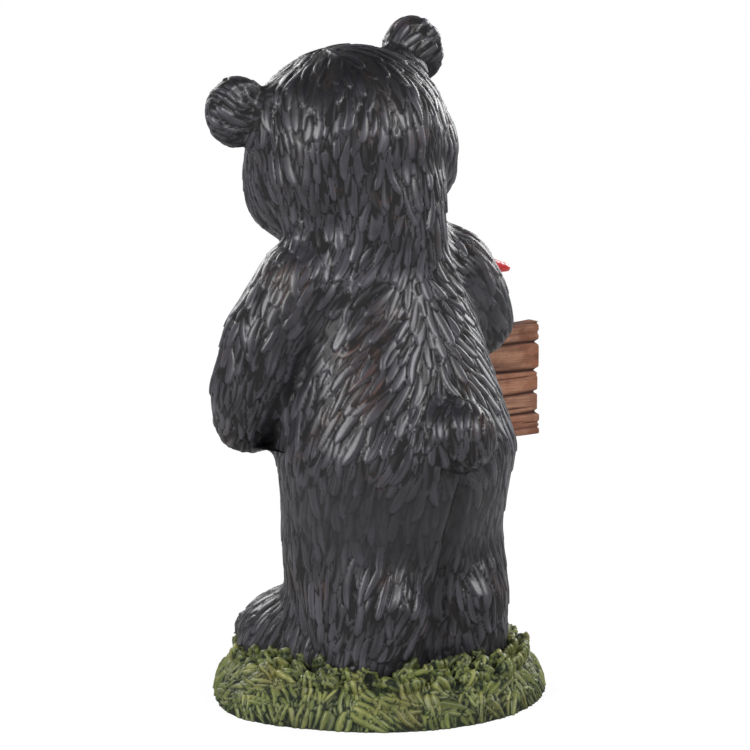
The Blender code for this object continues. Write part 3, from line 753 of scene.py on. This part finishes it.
def slabs(mesh, heights, name):
    """Parts a fine mesh into level slabs, each a closed piece. Their normals stay those of the whole."""
    lie = mesh.attributes.new("lie", "FLOAT_VECTOR", "POINT")
    lie.data.foreach_set("vector", vectors(mesh.vertices, "normal").ravel())
    pieces = []
    for i, (low, high) in enumerate(zip(heights, heights[1:])):
        bm = bmesh.new()
        bm.from_mesh(mesh)
        outside = [f for f in bm.faces if not low <= f.calc_center_median().z < high]
        bmesh.ops.delete(bm, geom=outside, context="FACES")
        turn_in(bm)
        bmesh.ops.holes_fill(bm, edges=[e for e in bm.edges if e.is_boundary], sides=0)
        bmesh.ops.triangulate(bm, faces=[f for f in bm.faces if len(f.verts) > 4])
        part = from_bmesh(f"{name}_{i + 1}", bm)
        normals = vectors(part.attributes["lie"].data, "vector")
        part.attributes.remove(part.attributes["lie"])
        part.shade_smooth()
        part.normals_split_custom_set_from_vertices(normals)
        pieces.append(new_object(part.name, part))
    return pieces


def plug(tree, target, values):
    """Gives each named input of a node a socket to read, or a fixed value."""
    for name, value in values.items():
        if isinstance(value, bpy.types.NodeSocket):
            tree.links.new(value, target.inputs[name])
        else:
            target.inputs[name].default_value = value


def node(tree, kind, values=(), **settings):
    """A new shader node, with its settings and what its inputs take."""
    made = tree.nodes.new(kind)
    for name, value in settings.items():
        setattr(made, name, value)
    plug(tree, made, dict(values))
    return made


def colour(values, strength=1):
    """A paint as a shader takes it, made darker or lighter if asked."""
    return (*(strength * value for value in values), 1)


def attribute(tree, name):
    return node(tree, "ShaderNodeAttribute", attribute_name=name).outputs["Fac"]


def mixed(tree, amount, first, second, blend="MIX"):
    """A colour mixed from two colours. Each of the three may be a socket or a fixed value."""
    values = {0: amount, 6: first, 7: second}
    return node(tree, "ShaderNodeMix", values, data_type="RGBA", blend_type=blend).outputs[2]


def ranged(tree, value, low, high, to_low=0.0, to_high=1.0):
    """A value brought from one range to another, and held there."""
    ends = {"From Min": low, "From Max": high, "To Min": to_low, "To Max": to_high}
    return node(tree, "ShaderNodeMapRange", {"Value": value, **ends}).outputs["Result"]


def times(tree, first, second):
    return node(tree, "ShaderNodeMath", {0: first, 1: second}, operation="MULTIPLY").outputs[0]


def noise(tree, scale, detail=4.0, roughness=0.6, stretch=None):
    """Noise on Object coordinates, stretched along an axis if asked."""
    place = node(tree, "ShaderNodeTexCoord").outputs["Object"]
    if stretch:
        place = node(tree, "ShaderNodeMapping", {"Vector": place, "Scale": stretch}).outputs["Vector"]
    values = {"Vector": place, "Scale": scale, "Detail": detail, "Roughness": roughness}
    return node(tree, "ShaderNodeTexNoise", values).outputs["Fac"]


def streaks(tree, scale, low, high):
    """Fine lines of paint that run along each stroke."""
    values = {"W": attribute(tree, "streak"), "Scale": scale, "Detail": 2.0}
    texture = node(tree, "ShaderNodeTexNoise", values, noise_dimensions="1D")
    return ranged(tree, texture.outputs["Fac"], low, high)


def brushed_relief():
    """The shared paint effect: the groove colour in the grooves, a dark paint that also stands in for painted
    shade, the coat's own colour, and dry brush on what stands out, which also stands in for a painted
    highlight.
    """
    group = bpy.data.node_groups.get("Brushed relief")
    if group:
        return group
    group = bpy.data.node_groups.new("Brushed relief", "ShaderNodeTree")
    for way, kind, names in (("INPUT", "Float", ("Relief", "Tone", "Wear")),
                             ("INPUT", "Color", ("Groove", "Coat", "Brush")),
                             ("OUTPUT", "Color", ("Color",)), ("OUTPUT", "Float", ("Roughness",))):
        for name in names:
            group.interface.new_socket(name, in_out=way, socket_type=f"NodeSocket{kind}")
    given = node(group, "NodeGroupInput").outputs
    relief = given["Relief"]
    base = mixed(group, ranged(group, relief, 0.22, 0.62), given["Groove"], given["Coat"])
    grey = mixed(group, given["Tone"], colour((0.6, 0.6, 0.6)), colour((1.35, 1.35, 1.35)))
    base = mixed(group, 1.0, base, grey, "MULTIPLY")
    cover = times(group, ranged(group, relief, 0.45, 1.0), given["Wear"])
    node(group, "NodeGroupOutput", {
        "Color": mixed(group, cover, base, given["Brush"]),
        "Roughness": ranged(group, relief, 0.2, 0.6, 0.9, 0.42)})
    return group


def new_material(name):
    """A material, its node tree and its shader."""
    material = bpy.data.materials.new(name)
    material.use_nodes = True
    return material, material.node_tree, material.node_tree.nodes["Principled BSDF"]


def painted(name, groove, coat, brush, wear_scale, shine):
    """A material of brushed paint on relief, with its shader and its colour left open for more."""
    material, tree, shader = new_material(name)
    worn = times(tree, ranged(tree, noise(tree, wear_scale), 0.36, 0.60), streaks(tree, 2.2, 0.25, 0.65))
    effect = node(tree, "ShaderNodeGroup", {
        "Relief": attribute(tree, "relief"), "Tone": attribute(tree, "tone"), "Wear": worn,
        "Groove": groove, "Coat": coat, "Brush": brush}, node_tree=brushed_relief()).outputs
    grain = mixed(tree, 0.5, noise(tree, 700.0, 3.0), streaks(tree, 3.0, 0.2, 0.8))
    bump = node(tree, "ShaderNodeBump", {"Strength": 0.3, "Distance": 0.0003, "Height": grain})
    plug(tree, shader, {
        "Roughness": effect["Roughness"], "Coat Weight": shine, "Coat Roughness": 0.25,
        "Normal": bump.outputs["Normal"]})
    return material, tree, shader, effect["Color"]


def fur_paint(settings):
    """Black resin fur: brushed grey, partly a painted highlight, warmed here and there, darkened as painted
    shade where the shade value is low, and tan on the muzzle, with painted shade in its grooves.
    """
    coats = (colour(settings.groove), colour(settings.coat), colour(settings.brush))
    material, tree, shader, paint = painted("painted_fur", *coats, 60.0, 0.2)
    warm = times(tree, ranged(tree, noise(tree, 34.0), 0.56, 0.70), streaks(tree, 1.3, 0.45, 0.75))
    paint = mixed(tree, warm, paint, colour(settings.rust))
    # Painted shade: where the shade value is low, the coat is darkened
    shaded = mixed(tree, 1.0, paint, colour((0.3, 0.3, 0.3)), "MULTIPLY")
    paint = mixed(tree, attribute(tree, "shade"), shaded, paint)
    raised = ranged(tree, attribute(tree, "relief"), 0.1, 0.9)
    # The tan is darker in the muzzle's grooves: painted shade
    tan = mixed(tree, raised, colour(settings.muzzle, 0.45), colour(settings.muzzle))
    paint = mixed(tree, attribute(tree, "tan"), paint, tan)
    paint = mixed(tree, attribute(tree, "ink"), paint, colour(settings.groove))
    plug(tree, shader, {"Base Color": paint})
    return material


def grass_paint(settings):
    """Olive grass with painted shade between the tufts and round the feet, brushed with straw yellow."""
    coats = (colour(settings.shade), colour(settings.green), colour(settings.straw))
    material, tree, shader, paint = painted("painted_grass", *coats, 120.0, 0.0)
    patches = times(tree, ranged(tree, noise(tree, 38.0), 0.54, 0.72), attribute(tree, "relief"))
    paint = mixed(tree, patches, paint, colour(settings.dry))
    # Painted shade round the bear's feet, towards the middle of the mound
    paint = mixed(tree, attribute(tree, "deep"), paint, colour(settings.shade, 1.6))
    plug(tree, shader, {"Base Color": paint})
    return material


def plain_gloss(name, base, roughness, shine):
    """Smooth paint whose gloss varies a little with the brush."""
    material, tree, shader = new_material(name)
    spread = noise(tree, 300.0)
    plug(tree, shader, {
        "Base Color": mixed(tree, ranged(tree, spread, 0.3, 0.7), colour(base, 0.7), colour(base)),
        "Roughness": ranged(tree, spread, 0.3, 0.7, roughness * 0.8, roughness * 1.25),
        "Coat Weight": shine, "Coat Roughness": 0.08})
    return material


def finished(obj, material, replaced):
    """Paints a piece, lets it ride on the statue and hides the CAD part that it stands for."""
    obj.data.materials.clear()
    obj.data.materials.append(material)
    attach(obj, "root")
    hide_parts(replaced)


def add_piece(name, bm, material, replaced):
    """A smooth piece of the statue."""
    bmesh.ops.triangulate(bm, faces=[f for f in bm.faces if len(f.verts) > 4])
    mesh = from_bmesh(name, bm)
    mesh.shade_smooth()
    finished(new_object(name, mesh), material, replaced)


def spacing(detail):
    return detail * 1


def statue(context):
    return context.scene.bear_statue


class ModelFur(bpy.types.Operator):
    """Models the bear with its tooled fur"""

    bl_idname = "bear_statue.fur"
    bl_label = "Bear and fur"

    def execute(self, context):
        settings = statue(context).fur
        bm = bmesh.new()
        add_flesh(bm)
        flesh = melted(from_bmesh("flesh", bm), FLESH_DETAIL, SOFTENING)
        bm = bmesh.new()
        bm.from_mesh(flesh)
        add_face(bm)
        add_digits(bm)
        cut_flat(bm, FUR_FOOT)
        skin = Skin(melted(from_bmesh("form", bm), spacing(settings.detail), SOFTENING))
        inner_ear = hollow_ears(skin)
        carve_fur(skin, settings, inner_ear)
        paint = fur_paint(settings)
        for piece in slabs(skin.mesh, SLAB_HEIGHTS, "bear_fur"):
            finished(piece, paint, "bear_on_grass")
        return {"FINISHED"}


class ModelFace(bpy.types.Operator):
    """Models the eyes and the nose"""

    bl_idname = "bear_statue.face"
    bl_label = "Eyes and nose"

    def execute(self, context):
        eye_paint = plain_gloss("eye_gloss", EYE_BROWN, 0.06, 1.0)
        for side, name in ((-1, "eye_right"), (1, "eye_left")):
            bm = bmesh.new()
            head_ball(bm, (side * EYE[0], EYE[1], EYE[2]), (7.0, 6.6, 7.0))
            add_piece(name, bm, eye_paint, "bear_on_grass")
        bm = bmesh.new()
        head_ball(bm, NOSE, (12, 9, 8.5), subdivisions=5)
        nose = from_bmesh("nose", bm)
        skin = Skin(nose)
        local = on_face(skin.points)
        dents = np.zeros(len(local))
        for side in (-1, 1):
            nostril = (side * 5.2, NOSE[1] - 8, NOSE[2] - 1.5)
            dents = np.maximum(dents, soft_spot(local, nostril, (2.6, 4, 2.0), 0.5))
        taper = np.clip((NOSE[2] - local[:, 2]) / 9, 0, 1) * np.sign(local[:, 0]) * np.abs(local[:, 0]) * 0.3
        skin.raise_by(-dents * 0.0022)
        skin.points = skin.points - np.outer(taper * U, np.array(HEAD_TURN @ Vector((1, 0, 0))))
        skin.place()
        nose.shade_smooth()
        finished(new_object("nose", nose), plain_gloss("nose_gloss", (0.012, 0.011, 0.012), 0.22, 0.5),
                 "bear_on_grass")
        return {"FINISHED"}


class ModelClaws(bpy.types.Operator):
    """Models a claw on each finger and toe"""

    bl_idname = "bear_statue.claws"
    bl_label = "Claws"

    def execute(self, context):
        paint = plain_gloss("claw_horn", statue(context).fur.claw, 0.3, 0.2)
        hands, feet = list(fingers()), list(toes())
        for name, digits in (("claws_left_paw", hands[:4]), ("claws_right_paw", hands[4:]),
                             ("claws_right_foot", feet[:5]), ("claws_left_foot", feet[5:])):
            bm = bmesh.new()
            for _, _, root, turn in digits:
                self.add_claw(bm, root, turn)
            add_piece(name, bm, paint, "bear_on_grass")
        return {"FINISHED"}

    def add_claw(self, bm, root, turn):
        """A ball drawn out along +Z to a curved point, then turned and set on its root."""
        made = bmesh.ops.create_icosphere(bm, subdivisions=3, radius=1)["verts"]
        for vert in made:
            x, y, z = vert.co
            reach = (z + 1) / 2
            thin = 1 - 0.72 * reach
            vert.co = (x * 2.3 * thin, y * 2.9 * thin + 2.2 * reach * reach, 9.5 * reach - 2)
        place = Matrix.Translation(at(root)) @ turned(turn) @ Matrix.Scale(U, 4)
        bmesh.ops.transform(bm, verts=made, matrix=place)


class ModelGrass(bpy.types.Operator):
    """Models the mound of grass"""

    bl_idname = "bear_statue.grass"
    bl_label = "Grass mound"

    def execute(self, context):
        settings = statue(context).grass
        rng = random.Random(CLUMP_SEED)
        bm = bmesh.new()
        self.add_mound(bm)
        for ring, (out, tall) in enumerate(CLUMP_RINGS):
            for i in range(settings.clumps):
                turn = math.tau * (i + ring / 2 + rng.uniform(-0.3, 0.3)) / settings.clumps
                self.add_clump(bm, turn, out, tall, rng)
        skin = Skin(melted(from_bmesh("mound", bm), spacing(settings.detail), 4))
        self.carve(skin, settings)
        bm = bmesh.new()
        bm.from_mesh(skin.mesh)
        cut_flat(bm, 0.0)
        add_piece("grass_mound", bm, grass_paint(settings), "bear_on_grass")
        return {"FINISHED"}

    def add_mound(self, bm):
        """The mound's outline turned round the middle, then stretched to the oval."""
        verts = [bm.verts.new((r, 0, z)) for r, z in MOUND_OUTLINE]
        edges = [bm.edges.new(pair) for pair in zip(verts, verts[1:])]
        bmesh.ops.spin(
            bm, geom=verts + edges, cent=(0, 0, 0), axis=(0, 0, 1), angle=math.tau, steps=96, use_merge=True)
        bmesh.ops.remove_doubles(bm, verts=bm.verts[:], dist=1e-4)
        size = Matrix.Diagonal((BASE_WIDTH / 2, BASE_DEPTH / 2, TURF, 1))
        bmesh.ops.transform(bm, verts=bm.verts[:], matrix=size)
        for vert in bm.verts:
            off = (math.atan2(vert.co.y, vert.co.x) - BULGE_BEARING) / BULGE_SPREAD
            vert.co.xy *= 1 + BASE_BULGE / (BASE_WIDTH / 2) * math.exp(-off * off)
        bmesh.ops.recalc_face_normals(bm, faces=bm.faces[:])

    def add_clump(self, bm, turn, out, tall, rng):
        """A rounded clump of blades that stands up from the turf and leans outwards."""
        x, y, _ = share(out * BASE_WIDTH / 2 * math.sin(turn), -out * BASE_DEPTH / 2 * math.cos(turn), 0)
        z = (TURF - SOLES) / U - 3 - 6 * (out - CLUMP_RINGS[0][0])
        size = (rng.uniform(5.5, 8.5), rng.uniform(3.4, 4.6), tall * rng.uniform(0.8, 1.15))
        ball(bm, (x, y, z), size, (rng.uniform(8, 26), rng.uniform(-18, 18), math.degrees(turn)), 3)

    def carve(self, skin, settings):
        rng = random.Random(TUFT_SEED)
        out = skin.points * (1, 1, 0) / (BASE_WIDTH / 2)
        sway = np.sin(skin.points[:, :2] @ np.array(((61.0, -47.0), (53.0, 71.0))) + 1.3)
        flow = skin.along(out * 0.5 + np.column_stack((0.45 * sway, np.ones(len(sway)))))
        count = len(skin.points)
        rim = np.clip((skin.points[:, 2] + 0.003) / 0.005, 0.2, 1)
        height, clear = skin.strokes(
            flow, np.full(count, settings.tuft_length), np.full(count, settings.tuft_width),
            settings.tuft_relief * rim, rng, skin.points[:, 2] > -0.010, TUFT_TRIES, tuft_profile, 0.4)
        skin.raise_by(height - 0.35 * settings.tuft_relief * rim)
        radius = np.hypot(skin.points[:, 0] / (BASE_WIDTH / 2), skin.points[:, 1] / (BASE_DEPTH / 2))
        level = np.clip(height / settings.tuft_relief, 0, 1)
        # What the paint follows: low at each tuft's root and along the mound's bottom edge, a painted shade
        skin.paint("relief", np.clip(np.sqrt(clear) * (0.25 + 1.2 * level), 0, 1) * (0.4 + 0.6 * rim))
        # Painted shade: darker towards the middle of the mound, round the bear's feet
        skin.paint("deep", np.clip((0.80 - radius) / 0.10, 0, 1) * 0.8)


class ModelBoard(bpy.types.Operator):
    """Models the sign board's planks and their grain"""

    bl_idname = "bear_statue.board"
    bl_label = "Sign board"

    def execute(self, context):
        settings = statue(context).board
        bm = bmesh.new()
        place = Matrix.Translation(BOARD_MIDDLE) @ Matrix.Diagonal((*BOARD_SIZE, 1))
        bmesh.ops.create_cube(bm, size=1, matrix=place)
        skin = Skin(melted(from_bmesh("plank_form", bm), spacing(settings.detail), 1))
        self.carve(skin, settings)
        skin.mesh.name = "sign_planks"
        skin.mesh.shade_smooth()
        finished(new_object("sign_planks", skin.mesh), self.paint(settings), "sign_board")
        return {"FINISHED"}

    def carve(self, skin, settings):
        """Gaps between the planks, grooves of grain along them, and uneven, notched ends."""
        rng = random.Random(PLANK_SEED)
        shares = [rng.uniform(0.7, 1.3) for _ in range(settings.planks)]
        edges = [sum(shares[:i]) / sum(shares) for i in range(settings.planks + 1)]
        setbacks = [[rng.uniform(0, 0.002) for _ in range(2)] for _ in range(settings.planks)]
        along = (skin.points[:, 0] - BOARD_BOX[0].x) / BOARD_SIZE.x
        height = (skin.points[:, 2] - BOARD_BOX[0].z) / BOARD_SIZE.z
        wave = GAP_WIDTH / BOARD_SIZE.z * np.sin(9 * height + 5.1 * along)
        plank = np.clip(np.searchsorted(edges, height - wave) - 1, 0, settings.planks - 1)
        gaps = np.zeros(len(skin.points))
        for edge in edges[1:-1]:
            gaps = np.maximum(gaps, np.exp(-(np.abs(height - edge - wave) * BOARD_SIZE.z / GAP_WIDTH) ** 2))
        grain, mask = random.Random(GRAIN_SEED), np.zeros(len(skin.points))
        for _ in range(settings.grain):
            start, slope, phase = grain.random(), grain.uniform(-0.02, 0.02), grain.uniform(0, 6)
            begin, length = grain.uniform(-0.3, 0.8), grain.uniform(0.3, 1.0)
            waves = 0.018 * np.sin(7 * along + phase) + 0.006 * np.sin(23 * along + 2 * phase)
            line = start + slope * along + waves
            fade = np.clip(np.minimum(along - begin, begin + length - along) * 9, 0, 1)
            off = np.abs(height - line) * BOARD_SIZE.z / grain.uniform(0.0006, 0.0010)
            mask = np.maximum(mask, fade * grain.uniform(0.4, 1.0) * np.exp(-off ** 2))
        fine = np.sin(height * 260 + 3 * np.sin(9 * along) + 2 * np.sin(31 * height))
        notch = np.maximum(gaps, 0.5 * mask)
        for end, (edge, way) in enumerate(((1.0, -1), (0.0, 1))):
            near = np.clip(1 - np.abs(along - edge) * BOARD_SIZE.x / END_REACH, 0, 1)
            back = np.array([pair[end] for pair in setbacks])[plank]
            skin.points[:, 0] += way * near ** 2 * (back + 0.0022 * notch)
        skin.raise_by(-settings.gap * gaps - GRAIN_DEPTH * mask + 0.00012 * fine - 0.0002)
        skin.paint("relief", np.clip(1 - gaps - 0.9 * mask + 0.12 * fine, 0, 1))
        skin.paint("tone", 0.5 + 0.5 * np.sin(plank * 2.4 + 4 * np.sin(3 * along + plank)))
        skin.paint("streak", height * 90 + 2.5 * np.sin(5 * along + 7 * height))

    def paint(self, settings):
        coats = (colour(settings.wood, 0.12), colour(settings.wood), colour(settings.worn))
        material, tree, shader, paint = painted("painted_wood", *coats, 75.0, 0.0)
        stains = noise(tree, 30.0, 6.0, 0.7, (0.6, 4.0, 6.0))
        paint = mixed(tree, ranged(tree, stains, 0.45, 0.75), paint, colour(settings.wood, 0.45))
        plug(tree, shader, {"Base Color": paint})
        return material


class ModelBird(bpy.types.Operator):
    """Models the small red bird"""

    bl_idname = "bear_statue.bird"
    bl_label = "Bird"

    def execute(self, context):
        settings = statue(context).bird
        bm = bmesh.new()
        self.add_body(bm)
        skin = Skin(melted(from_bmesh("bird_form", bm), BIRD_LENGTH / 140, 6))
        self.carve(skin)
        bm = bmesh.new()
        bm.from_mesh(skin.mesh)
        cut_flat(bm, BIRD_SEAT.z + 0.0003)
        add_piece("bird_body", bm, self.paint(settings.red), "bird")
        beak_paint = plain_gloss("beak_gloss", settings.beak, 0.25, 0.4)
        eye_paint = bpy.data.materials.get("eye_gloss") or plain_gloss("eye_gloss", EYE_BROWN, 0.06, 1.0)
        for name, paint, lumps in (("bird_beak", beak_paint, BIRD_BEAK), ("bird_eyes", eye_paint, BIRD_EYES)):
            bm = bmesh.new()
            for centre, radii, turn in lumps:
                self.lump(bm, centre, radii, turn)
            add_piece(name, bm, paint, "bird")
        return {"FINISHED"}

    def lump(self, bm, centre, radii, turn=(0, 0, 0)):
        """A lump of the bird, in shares of its length from its seat. It faces the bear's left."""
        place = Matrix.Translation(BIRD_SEAT + Vector(centre) * BIRD_LENGTH)
        size = Matrix.Diagonal((*(r * BIRD_LENGTH for r in radii), 1))
        bmesh.ops.create_icosphere(bm, subdivisions=4, radius=1, matrix=place @ turned(turn) @ size)

    def add_body(self, bm):
        self.lump(bm, (0.0, 0, 0.16), (0.27, 0.18, 0.19), (0, -14, 0))
        self.lump(bm, (0.20, 0, 0.36), (0.145, 0.135, 0.145))
        self.lump(bm, (0.14, 0, 0.50), (0.11, 0.035, 0.05), (0, 48, 0))
        for side in (-1, 1):
            self.lump(bm, (-0.05, side * 0.15, 0.17), (0.24, 0.05, 0.12), (0, -18, side * 4))
        for i in range(9):
            reach = i / 8
            radii = (0.10, 0.095 - 0.040 * reach, 0.125 - 0.075 * reach)
            self.lump(bm, (-0.22 - 0.375 * reach, 0, 0.105 - 0.065 * reach), radii, (0, -10, 0))

    def carve(self, skin):
        """Feathers laid back from the head to the tail."""
        rng = random.Random(FEATHER_SEED)
        local = (skin.points - np.array(BIRD_SEAT)) / BIRD_LENGTH
        flow = skin.along(np.tile((-1.0, 0.0, -0.35), (len(local), 1)))
        long = np.where(local[:, 0] < -0.1, 0.17, 0.085) * BIRD_LENGTH
        wide = np.where(local[:, 0] < -0.1, 0.040, 0.045) * BIRD_LENGTH
        relief = np.where(local[:, 0] < -0.4, 0.003, 0.010) * BIRD_LENGTH
        height, clear = skin.strokes(
            flow, long, wide, relief, rng, local[:, 2] > 0, FEATHER_TRIES, lock_profile)
        skin.raise_by(height - 0.5 * relief)
        beak = np.linalg.norm((local - np.array((0.34, 0, 0.345))) / (0.075, 0.12, 0.075), axis=1)
        smooth = np.clip(-10 * local[:, 0] - 3.5, 0, 1)
        skin.paint("relief", np.maximum(clear * (0.4 + 0.6 * np.clip(height / relief, 0, 1)), 0.8 * smooth))
        skin.paint("ink", np.clip(np.clip(1.25 - beak, 0, 1) * 5, 0, 1))

    def paint(self, red):
        coats = (colour(red, 0.25), colour(red), colour(red, 1.3))
        material, tree, shader, paint = painted("glossy_red", *coats, 200.0, 0.7)
        paint = mixed(tree, attribute(tree, "ink"), paint, (0.008, 0.007, 0.007, 1))
        plug(tree, shader, {"Base Color": paint})
        return material


# The studio: the floor's radius and glow, how white the camera sees it, where the camera aims, and the
# softboxes, each with its azimuth from the camera, elevation, distance, width and power
FLOOR_RADIUS = 0.9
FLOOR_GLOW = 1.14
FLOOR_WHITE = 0.8
AIM = Vector((0.0035, 0, (CAD_BOX[0].z + CAD_BOX[1].z) / 2 - 0.0086))
SOFTBOXES = (
    ("left_softbox", -48, 24, 1.4, 0.7, 15),
    ("right_softbox", 52, 30, 1.4, 0.6, 13),
    ("front_left_softbox", 215, 25, 1.5, 0.8, 12),
    ("front_right_softbox", 140, 20, 1.5, 0.8, 12),
)


class SetStage(bpy.types.Operator):
    """Sets the camera, the pale floor and the studio light"""

    bl_idname = "bear_statue.stage"
    bl_label = "Stage"

    def execute(self, context):
        settings = statue(context).stage
        self.add_camera(context, settings)
        self.add_floor()
        self.add_lights(settings)
        self.add_world(context)
        context.scene.view_settings.view_transform = "Standard"
        return {"FINISHED"}

    def add_world(self, context):
        """A room that is darker overhead. The camera sees plain white behind the floor."""
        world = bpy.data.worlds.new("studio")
        world.use_nodes = True
        tree = world.node_tree
        place = node(tree, "ShaderNodeTexCoord").outputs["Generated"]
        height = node(tree, "ShaderNodeSeparateXYZ", {0: place}).outputs["Z"]
        room = mixed(tree, ranged(tree, height, 0.1, 0.8), (0.26, 0.27, 0.29, 1), (0.03, 0.03, 0.04, 1))
        seen = node(tree, "ShaderNodeLightPath").outputs["Is Camera Ray"]
        plug(tree, tree.nodes["Background"], {"Color": mixed(tree, seen, room, (1, 1, 1, 1))})
        context.scene.world = world

    def away(self, azimuth, elevation, distance):
        """The offset of something that stands round the statue."""
        a, e = math.radians(azimuth), math.radians(elevation)
        return Vector((math.sin(a) * math.cos(e), -math.cos(a) * math.cos(e), math.sin(e))) * distance

    def add_camera(self, context, settings):
        camera = new_object("camera", bpy.data.cameras.new("camera"))
        back = self.away(settings.azimuth, settings.elevation, settings.distance)
        camera.location = AIM + back
        camera.rotation_euler = (-back).to_track_quat("-Z", "Y").to_euler()
        camera.data.sensor_width = 36
        camera.data.lens = 36 * settings.distance / settings.frame_height
        context.scene.camera = camera

    def add_floor(self):
        """A pale floor that the camera sees almost white, so that only the statue's shadow shows on it."""
        bm = bmesh.new()
        bmesh.ops.create_circle(bm, cap_ends=True, segments=96, radius=FLOOR_RADIUS)
        floor = new_object("floor", from_bmesh("floor", bm))
        material, tree, shader = new_material("pale_floor")
        plug(tree, shader, {"Base Color": (0.5, 0.5, 0.5, 1), "Roughness": 0.9})
        lit = node(tree, "ShaderNodeEmission", {"Strength": FLOOR_GLOW})
        seen = node(tree, "ShaderNodeLightPath").outputs["Is Camera Ray"]
        share_lit = ranged(tree, seen, 0.0, 1.0, 0.0, FLOOR_WHITE)
        blend = node(tree, "ShaderNodeMixShader", {0: share_lit, 1: shader.outputs[0], 2: lit.outputs[0]})
        plug(tree, tree.nodes["Material Output"], {"Surface": blend.outputs[0]})
        floor.data.materials.append(material)

    def add_lights(self, settings):
        """Softboxes all round the statue."""
        for name, azimuth, elevation, distance, width, power in SOFTBOXES:
            light = bpy.data.lights.new(name, "AREA")
            light.shape = "DISK"
            light.size = width
            light.energy = power
            lamp = new_object(name, light)
            offset = self.away(settings.azimuth + azimuth, elevation, distance)
            lamp.location = AIM + offset
            lamp.rotation_euler = (-offset).to_track_quat("-Z", "Y").to_euler()


class StatuePanel(bpy.types.Panel):
    """Lists the statue's pieces and their settings"""

    bl_idname = "VIEW3D_PT_bear_statue"
    bl_label = "Bear statue"
    bl_space_type = "VIEW_3D"
    bl_region_type = "UI"
    bl_category = "Bear statue"

    def draw(self, context):
        settings = statue(context)
        for part, operators in (("fur", (ModelFur, ModelFace, ModelClaws)), ("grass", (ModelGrass,)),
                                ("board", (ModelBoard,)), ("bird", (ModelBird,)), ("stage", (SetStage,))):
            box = self.layout.box()
            group = getattr(settings, part)
            for name in group.__annotations__:
                box.prop(group, name)
            for operator in operators:
                box.operator(operator.bl_idname)


OPERATORS = (ModelFur, ModelFace, ModelClaws, ModelGrass, ModelBoard, ModelBird, SetStage)
CLASSES = (FurSettings, GrassSettings, BoardSettings, BirdSettings, StageSettings, StatueSettings, *OPERATORS,
           StatuePanel)


def register():
    for cls in CLASSES:
        bpy.utils.register_class(cls)
    bpy.types.Scene.bear_statue = PointerProperty(type=StatueSettings)


def unregister():
    del bpy.types.Scene.bear_statue
    for cls in reversed(CLASSES):
        bpy.utils.unregister_class(cls)


def main():
    """Models every piece."""
    register()
    for operator in OPERATORS:
        group, name = operator.bl_idname.split(".")
        getattr(getattr(bpy.ops, group), name)()


if __name__ == "__main__":
    main()
